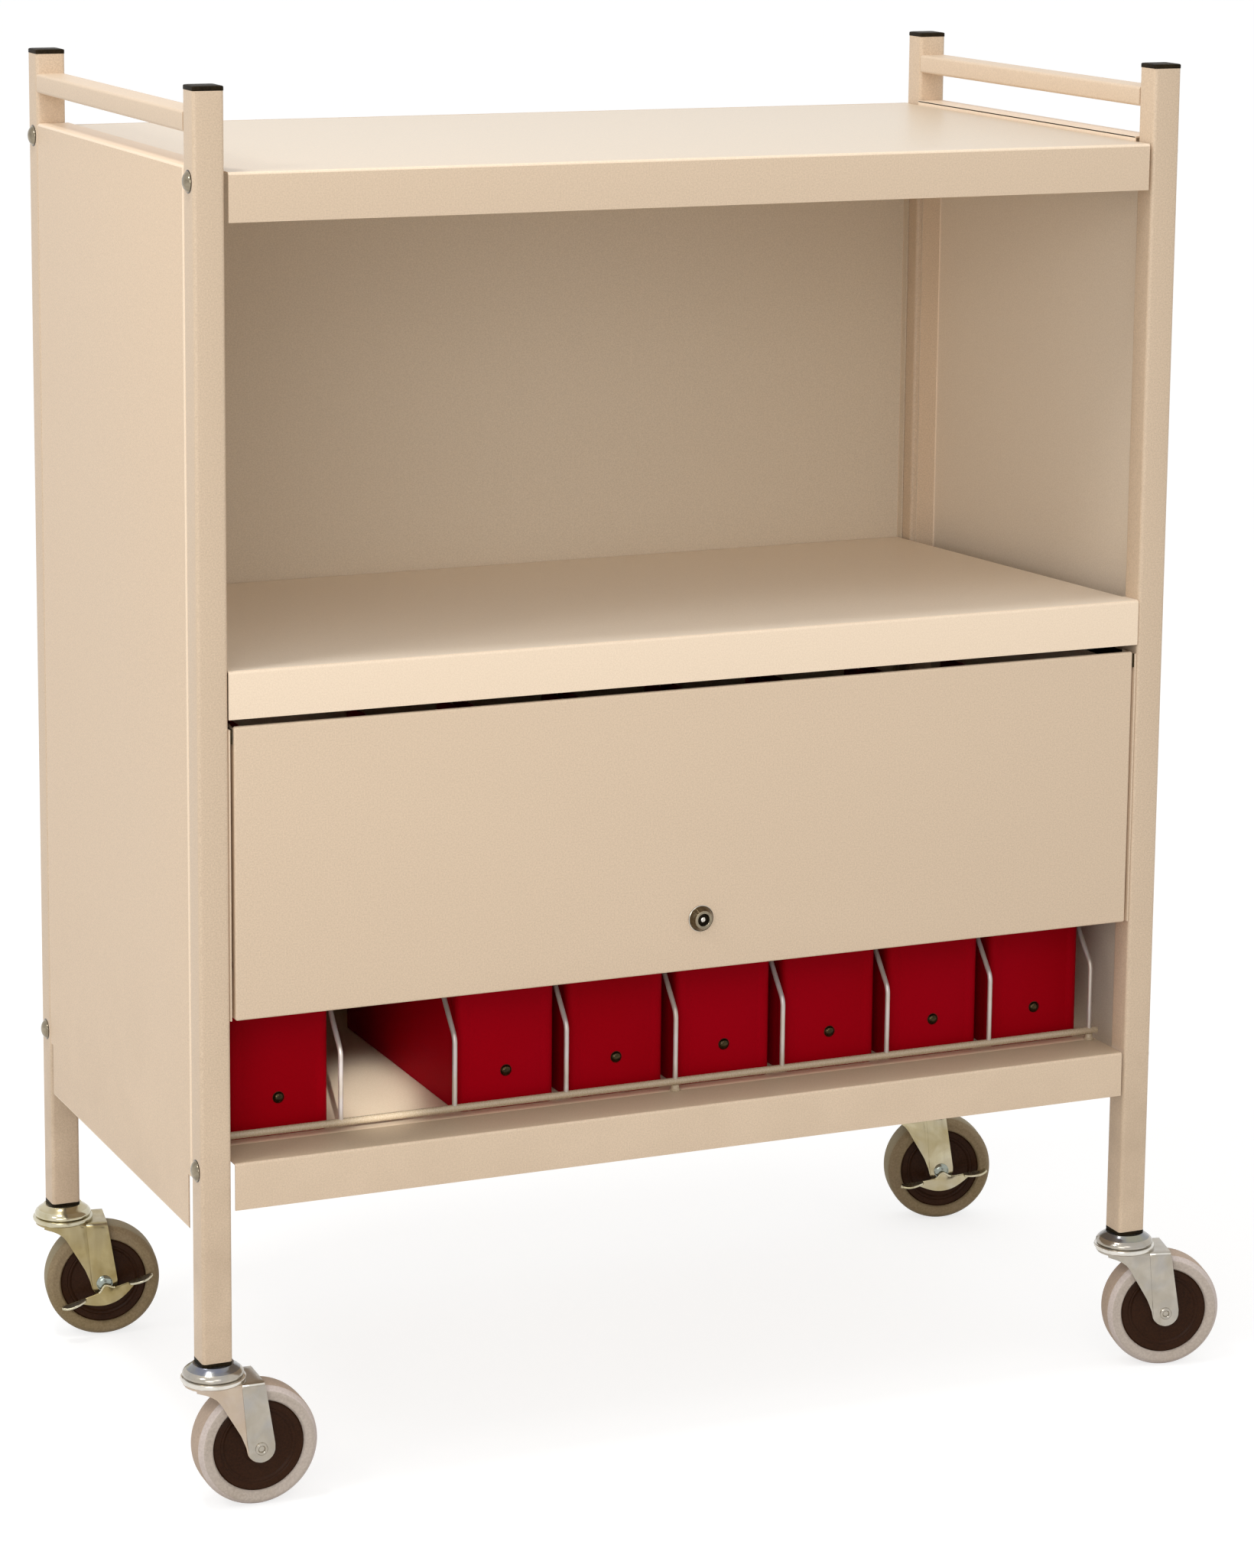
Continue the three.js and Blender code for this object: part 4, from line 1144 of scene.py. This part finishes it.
studStyle = {
    "head": [
        (0.0, 1.0), (0.18, 0.985), (0.36, 0.93), (0.54, 0.82), (0.72, 0.64), (0.86, 0.42), (0.94, 0.22), (0.96, 0.14),
        (1.0, 0.12), (1.0, 0.0), (0.0, 0.0),
    ],
    "frame": {"wide": 16.8, "tall": 4.4, "heights": (1075, 284), "out": 435, "deep": 212.3},
    # a flat dark disc under each frame screw's head: painted shade round its edge
    "frameShadeRim": {"wide": 18.4, "tall": 1.0},
    "rivet": {"wide": 10.0, "tall": 3.2, "height": 322},
}


def studTree():
    tree, given = newTree("studs", {"Stud": "Object", "Head Width": "Float", "Head Height": "Float"})
    stud = addNode(tree, "GeometryNodeObjectInfo", Object=given["Stud"])
    facing = addNode(
        tree, "GeometryNodeInputNamedAttribute", settings={"data_type": "FLOAT_VECTOR"}, Name="facing",
    )
    turn = addNode(
        tree, "FunctionNodeAlignRotationToVector", settings={"axis": "Z"}, Vector=facing.outputs["Attribute"],
    )
    half = mathNode(tree, "MULTIPLY", given["Head Width"], 0.5)
    size = addNode(tree, "ShaderNodeCombineXYZ", X=half, Y=half, Z=given["Head Height"])
    return copyTo(
        tree, given, Points=given["Geometry"], Instance=stud.outputs["Geometry"], Rotation=turn.outputs[0],
        Scale=size.outputs[0],
    )


bm = bmesh.new()
lathe(bm, studStyle["head"], Matrix.Identity(4), 28)
studHead = linkShape("studHead", bm)
studs = studTree()


def studRow(name, places, style, finish):
    mesh = bpy.data.meshes.new(name)
    mesh.from_pydata([place for place, way in places], [], [])
    facing = mesh.attributes.new("facing", "FLOAT_VECTOR", "POINT")
    for k, (place, way) in enumerate(places):
        facing.data[k].vector = way
    row = linkMesh(name, mesh)
    runTree(row, studs, {
        "Stud": studHead, "Head Width": style["wide"] / 1000, "Head Height": style["tall"] / 1000, "Finish": finish,
    }, 45)
    give(row, "frame", "zinc_plate")


frameStuds, rivets = [], []
out, deep = studStyle["frame"]["out"], studStyle["frame"]["deep"]
for sign in (-1, 1):
    for y in (-deep, deep):
        for z in studStyle["frame"]["heights"]:
            frameStuds.append((at(sign * out, y, z), (sign, 0, 0)))
for slot in range(binderStyle["slots"]):
    if slot != binderStyle["empty"]:
        rivets.append((at(startX + slot * rackStyle["pitch"], front, studStyle["rivet"]["height"]), (0, -1, 0)))
studRow("frame-screws", frameStuds, studStyle["frame"], screwSteel)
# the dark discs under the screws: painted shade
studRow("frame-screw-rims", frameStuds, studStyle["frameShadeRim"], darkBronze)
studRow("binder-rivets", rivets, studStyle["rivet"], darkBronze)
bpy.data.objects.remove(studHead)
print("screws and rivets made:", len(frameStuds) + len(rivets))


# casters: turned profiles are (radius, height) points, and the fork's edges (height, place) points

casterStyle = {
    "trail": 34, "axle": 50.8, "axleRadius": 4.9,
    "race": [
        (0.0, 106.0), (22.6, 105.4), (25.2, 106.5), (26.4, 108.0), (26.7, 109.2), (26.3, 110.4), (25.3, 111.0),
        (0.0, 111.0),
    ],
    "cup": [
        (0.0, 111.6), (23.6, 111.6), (24.6, 112.0), (25.0, 112.9), (24.8, 114.2), (23.8, 115.9), (21.8, 117.6),
        (19.4, 119.2), (17.6, 120.6), (16.6, 121.8), (0.0, 121.8),
    ],
    "cupShade": 117.6,  # above this the cup has its second finish: on the front casters a bluish painted shade under the collar; on the braked casters the plain plating, with a lighter painted highlight below
    "kingpin": [(0, 101.2), (8.4, 101.2), (9.0, 101.8), (9.0, 104.2), (5.8, 104.2), (5.8, 111.6), (0, 111.6)],
    "collar": [  # across, corner and height
        (24.0, 3.2, 121.6), (25.2, 3.2, 121.9), (25.5, 3.2, 122.4), (25.5, 3.2, 124.9), (21.8, 1.6, 124.9),
        (21.8, 1.6, 140.0),
    ],
    "nut": [(0.0, 2.9), (2.4, 2.8), (4.6, 2.3), (6.2, 1.6), (7.2, 0.6), (7.4, -0.6), (0.0, -0.6)],
    "rivet": [(0.0, 0.3), (2.3, 0.3), (2.6, 1.4), (3.4, 2.1), (4.4, 1.9), (5.2, 1.0), (5.4, -0.6), (0.0, -0.6)],
    "hub": [
        (5.4, -17.4), (10.8, -17.4), (11.8, -16.8), (12.3, -14.6), (14.5, -12.4), (19.0, -11.4), (28.4, -11.0),
        (29.4, -11.9), (30.6, -12.3), (31.6, -12.0), (32.4, -12.6), (36.8, -13.2), (38.1, -12.4), (38.1, 0.0),
    ],
    "tyre": [
        (38.2, -12.7), (38.8, -14.4), (39.8, -15.2), (41.6, -15.3), (43.8, -15.5), (45.6, -15.8), (46.8, -15.4),
        (47.8, -14.3), (49.4, -12.0), (50.2, -10.6), (50.6, -8.8), (50.8, -5.6), (50.8, 0.0),
    ],
    "shoulder": 46.4, "tread": 50.0,  # radii where these begin; the shoulder band is a painted highlight
}
forkStyle = {
    "crown": 107.1, "outer": 21.0, "sheet": 2.5, "fold": 3.2, "endRadius": 11.7, "edge": 0.5,
    "leftEdge": [
        (103.0, -18.4), (101.5, -14.5), (99.0, -7.4), (95.0, -1.5), (90.0, 2.0), (83.0, 5.9), (73.0, 11.8),
        (63.5, 17.2), (55.0, 20.6), (50.0, 22.4),
    ],
    "crease": [(103.0, 18.5), (46.0, 23.5)],
    "rightEdge": [(107.0, 37.2), (54.0, 45.6)],
    "endAngles": (0, 12, 25, 38, 52, 66, 80), "legAbove": 3,  # the rounded end, and where the straight leg begins
    "levels": (58, 63.5, 69, 75, 81, 86, 90, 93, 95.5, 98, 100, 101.6, 103),
    "webSteps": 5, "rimSteps": 3, "press": 2.1, "pressMore": 2.7, "pressFrom": 88, "pressOver": 12,
    "pressRoom": 14, "pressPower": 0.8, "groove": 1.1, "grooveDip": 0.8, "creaseGap": 0.4,
    "cutFrom": -4, "least": 0.2,  # the leg's own edge counts from here, and the rounded end's least half width
    "foldAngles": (25, 50, 75, 90), "crownPlaces": (13, 8, 4), "crownGroove": 0.9, "crownPress": 4.8,
    "crownDip": 0.45, "crownRadius": 24.6, "crownSide": 18.0,
    "foldBelow": 0.5, "foldTall": 2.6,
}


def alongEdge(edge, z):  # place on an edge drawn as (height, place) points, highest first
    if z >= edge[0][0]:
        return edge[0][1]
    for (z0, x0), (z1, x1) in zip(edge, edge[1:]):
        if z >= z1:
            return x0 + (x1 - x0) * (z0 - z) / (z0 - z1)
    return edge[-1][1]


def stripRow(edges, y, z, groove, dip, press, power):  # points across the fork's strip, with its pressed web and crease
    left, crease, right = edges
    web, rim = forkStyle["webSteps"], forkStyle["rimSteps"]
    row = [(left + (crease - groove - left) * k / web, y - press * (1 - k / web) ** power, z) for k in range(web + 1)]
    row.append((crease, y - dip, z))
    return row + [(crease + groove + (right - crease - groove) * k / rim, y, z) for k in range(rim + 1)]


def legRow(fork, z):
    axle, trail, radius, gap = casterStyle["axle"], casterStyle["trail"], fork["endRadius"], fork["creaseGap"]
    left, right = alongEdge(fork["leftEdge"], z), alongEdge(fork["rightEdge"], z)
    if z < axle + fork["legAbove"]:
        reach = math.sqrt(max(radius ** 2 - (z - axle) ** 2, fork["least"] ** 2))
        left = max(left, trail - reach) if z > axle + fork["cutFrom"] else trail - reach
        right = trail + reach
    crease = min(max(alongEdge(fork["crease"], z), left + gap), right - gap)
    press = fork["press"]
    if z >= fork["pressFrom"]:
        press += fork["pressMore"] * min((z - fork["pressFrom"]) / fork["pressOver"], 1) ** 2
    groove = min(fork["groove"], (crease - left) / 3, (right - crease) / 3)
    room = min((crease - left) / fork["pressRoom"], 1)
    edges, dip = (left, crease, right), fork["grooveDip"] * groove
    return stripRow(edges, fork["outer"], z, groove, dip, press * room, fork["pressPower"])


def forkRows(fork):  # from the near leg's foot over the crown to the far leg's foot
    axle, outer, fold, top = casterStyle["axle"], fork["outer"], fork["fold"], fork["crown"]
    ends = [axle - fork["endRadius"] * math.cos(math.radians(a)) for a in fork["endAngles"]]
    rows = [legRow(fork, z) for z in (*ends, axle + fork["legAbove"], *fork["levels"])]
    places = []
    for a in fork["foldAngles"]:
        turn = math.radians(a)
        places.append((outer - fold + fold * math.cos(turn), top - fold + fold * math.sin(turn), 1 - a / 90))
    places += [(y, top, 0) for y in fork["crownPlaces"]]
    right, crease = fork["rightEdge"][0][1], fork["crease"][0][1]
    for y, z, share in places:
        left = -math.sqrt(max(fork["crownRadius"] ** 2 - min(y, outer) ** 2, fork["crownSide"] ** 2))
        dip, press = fork["crownDip"] * share, fork["crownPress"] * share
        rows.append(stripRow((left, crease, right), y, z, fork["crownGroove"], dip, press, 1))
    near = [[(x, -y, z) for x, y, z in row] for row in rows]
    middle = [[(x, 0.0, z) for x, y, z in rows[-1]]]
    return near + middle + rows[::-1]


def pressed(piece, way, face, sheet, edge, angle):  # a flat blank gets its thickness and soft edges
    faceOut(piece, way, face)
    addWall(piece, sheet)
    soften(piece, forkStyle["edge"], edge)
    return settle(piece, angle)


def forkPiece(name, matrix, finish, webFinish, foldHighlight):
    bm = bmesh.new()
    foldFoot = (forkStyle["crown"] - forkStyle["fold"] - forkStyle["foldBelow"]) / 1000
    rows = [[bm.verts.new(matrix @ Vector(p)) for p in row] for row in forkRows(forkStyle)]
    for a, b in zip(rows, rows[1:]):
        for i in range(len(a) - 1):
            face = bm.faces.new((a[i], a[i + 1], b[i + 1], b[i]))
            low = min(a[i].co.z, b[i].co.z)
            onFold = low > foldFoot > a[i].co.z - forkStyle["foldTall"] / 1000
            # the web takes its own finish, and the faces on the crown fold the lighter zinc, a painted highlight
            face.material_index = 1 if i <= forkStyle["webSteps"] else 2 if onFold else 0
    fork = linkShape(name, bm, finish, webFinish, foldHighlight)
    top = max(fork.data.polygons, key=lambda face: face.center.z)
    return pressed(fork, Vector((0, 0, 1)), top, forkStyle["sheet"], 55, 24)


def mirrored(profile):  # a closed section from its lower half
    return profile + [(r, -h) for r, h in reversed(profile[:-1])] + profile[:1]


def casterSet(corner, finish, braked):
    style = casterStyle
    pivot = Vector(joints[f"{corner}_caster_swivel"]["pos_m"])
    wheelPlace = Vector(joints[f"{corner}_wheel_spin"]["pos_m"])
    aim = math.atan2(wheelPlace.y - pivot.y, wheelPlace.x - pivot.x)
    stand = Matrix.Translation((pivot.x, pivot.y, 0)) @ Matrix.Scale(0.001, 4)
    turned = stand @ Matrix.Rotation(aim, 4, "Z")
    atAxle = turned @ Matrix.Translation((style["trail"], 0, style["axle"]))
    sideways = atAxle @ Matrix.Rotation(math.radians(-90), 4, "X")
    toWheel = sideways.inverted()
    label = corner.replace("_", "-")
    # races and the crown fold take a lighter zinc: painted highlight
    highlightFinish = paleZinc if braked else polishedZinc

    bm = bmesh.new()
    lathe(bm, style["cup"], stand, 72)
    lathe(bm, style["kingpin"], stand, 32)
    # the cup's top takes the bluish painted shade on the front casters; the braked casters' cups are lighter below, a
    # painted highlight
    cup = shaped(f"{label}-caster-cup", bm, 34, paleZinc if braked else finish, yellowZinc if braked else blueZinc)
    paintFaces(cup, lambda face: 1 if face.center.z > style["cupShade"] / 1000 else None)
    give(cup, "frame", "zinc_plate", f"{corner}_caster_stem")

    bm = bmesh.new()
    loft(bm, [[stand @ Vector((x, y, z)) for x, y in squareRing(w, w, c)] for w, c, z in style["collar"]])
    collar = shaped(f"{label}-caster-collar", bm, 40, blackPlastic)
    give(collar, "frame", "black_plastic")

    # the front-left fork's web takes the warm-tinted zinc: painted reflection
    web = warmZinc if corner == "front_left" else finish
    fork = forkPiece(f"{label}-caster-fork", turned, finish, web, highlightFinish)
    race = latheShape(f"{label}-race", style["race"], turned, 72, 34, highlightFinish)
    out, r = forkStyle["outer"], style["axleRadius"]
    bm = bmesh.new()
    lathe(bm, [(0, 1 - out), (r, 1 - out), (r, out - 1), (0, out - 1)], sideways, 24)
    for sign in (-1, 1):
        lathe(bm, [(r, sign * (out + h)) for r, h in style["nut" if braked else "rivet"]], sideways, 32)
    axle = shaped(f"{label}-axle", bm, 34, nutZinc if braked else brightZinc)
    joinPieces(fork, race, axle)
    give(fork, f"{corner}_swivel", "zinc_plate", f"{corner}_fork")

    def rubberOf(face):
        wide = (toWheel @ face.center).xy.length
        return 2 if wide > style["tread"] else 1 if wide > style["shoulder"] else 0

    hub = latheShape(f"{label}-wheel-core", mirrored(style["hub"]), sideways, 80, 26, brownCore)
    give(hub, f"{corner}_wheel", "brown_core", f"{corner}_wheel_hub")
    # the braked casters' tyres take the darker rubber, painted shade; the front tyres' shoulders the lighter one, a
    # painted highlight
    rubbers = (brownRubber, brownRubber, oliveRubber) if braked else (greyRubber, paleRubber, treadRubber)
    tyre = latheShape(f"{label}-tyre", mirrored(style["tyre"]), sideways, 112, 32, *rubbers)
    paintFaces(tyre, rubberOf)
    give(tyre, f"{corner}_wheel", "grey_rubber", f"{corner}_tyre")
    return atAxle, label


# brake pedals on the rear casters

pedalStyle = {
    "sheet": 2.0, "gap": 3.3, "reach": 42, "inner": 25, "arm": -5.0, "armLow": -8.5, "deep": -18.5,
    "curveSteps": 9, "foot": 1.0, "arch": 7.6, "rise": 4.6, "archSteps": 12, "bead": 1.0, "beadBack": 0.2,
    "toe": 10, "toeStart": 20, "toeSteps": 12, "toeFlat": 8, "toeLift": 1.6, "tipLift": 1.2, "toeBack": 0.6,
    "bulgeFrom": 0.06, "bulgeOver": 0.76, "bulgePower": 0.7, "bulgeLeast": 0.1,
}


def toeRows(style, sign, front):  # the pad that stands out from the plate's upper edge, bent up at its end
    rows = []
    count, start, flat, arm = style["toeSteps"], style["toeStart"], style["toeFlat"], style["arm"]
    for k in range(count + 1):
        x = sign * (start + (style["reach"] - start) * k / count)
        lift = style["toeLift"] * max((k - flat) / (count - flat), 0) ** 2
        bulge = math.sin(math.pi * (style["bulgeFrom"] + style["bulgeOver"] * k / count)) ** style["bulgePower"]
        tip = front - style["toe"] * (style["bulgeLeast"] + (1 - style["bulgeLeast"]) * bulge)
        rows.append([(x, y, arm + lift) for y in (front + style["toeBack"], (front + tip) / 2)])
        rows[-1].append((x, tip, arm + lift * style["tipLift"]))
    return rows


def pedalPiece(corner, atAxle, label, finish, tilt):
    style = pedalStyle
    front = -(forkStyle["outer"] + style["gap"] + style["sheet"])
    matrix = atAxle @ Matrix.Rotation(-math.radians(tilt), 4, "Y")
    turn = matrix.to_3x3().normalized()
    reach, arm, low = style["reach"], style["arm"], style["armLow"]
    half = [(reach, arm), (reach, low)]
    for k in range(style["curveSteps"] + 1):
        share = k / style["curveSteps"]
        down = (style["deep"] - low) * math.sin(math.pi / 2 * share)
        half.append((style["inner"] * (1 - share) + style["foot"], low + down))
    arch = []
    for k in range(style["archSteps"] + 1):  # the top edge rises over the axle's nut
        x = style["arch"] * (2 * k / style["archSteps"] - 1)
        arch.append((x, arm + style["rise"] * (0.5 + 0.5 * math.cos(math.pi * x / style["arch"]))))
    outline = half + [(-x, z) for x, z in reversed(half)] + arch
    bm = bmesh.new()
    bm.faces.new([bm.verts.new(matrix @ Vector((x, front, z))) for x, z in outline])
    pedal = linkShape(f"{label}-brake-pedal", bm, finish)
    pressed(pedal, turn @ Vector((0, -1, 0)), pedal.data.polygons[0], style["sheet"], 50, 30)
    extra = []
    for sign in (-1, 1):
        bm = bmesh.new()
        loft(bm, [[matrix @ Vector(p) for p in row] for row in toeRows(style, sign, front)], False, False, False)
        # the toes take the lighter yellow zinc: painted highlight
        pad = linkShape(f"{label}-toe", bm, paleZinc)
        extra.append(pressed(pad, turn @ Vector((0, 0, 1)), pad.data.polygons[0], style["sheet"], 50, 40))
    bm = bmesh.new()
    rim = [matrix @ Vector((x, front + style["beadBack"], z)) for x, z in arch]
    for start, end in zip(rim, rim[1:]):  # the arch's rolled rim
        rodShape(bm, start, end, style["bead"], 10, 0.05)
    # the arch's rim in the lighter yellow zinc: painted highlight
    extra.append(shaped(f"{label}-arch", bm, 60, paleZinc))
    joinPieces(pedal, *extra)
    give(pedal, f"{corner}_brake", "zinc_plate", f"{corner}_brake_pedal")


for corner, finish, tilt in (
    ("front_left", brightZinc, None), ("front_right", brightZinc, None),
    ("rear_left", oliveZinc, 18), ("rear_right", yellowZinc, 8.5),
):
    atAxle, label = casterSet(corner, finish, tilt is not None)
    if tilt is not None:
        pedalPiece(corner, atAxle, label, finish, tilt)
print("casters made")
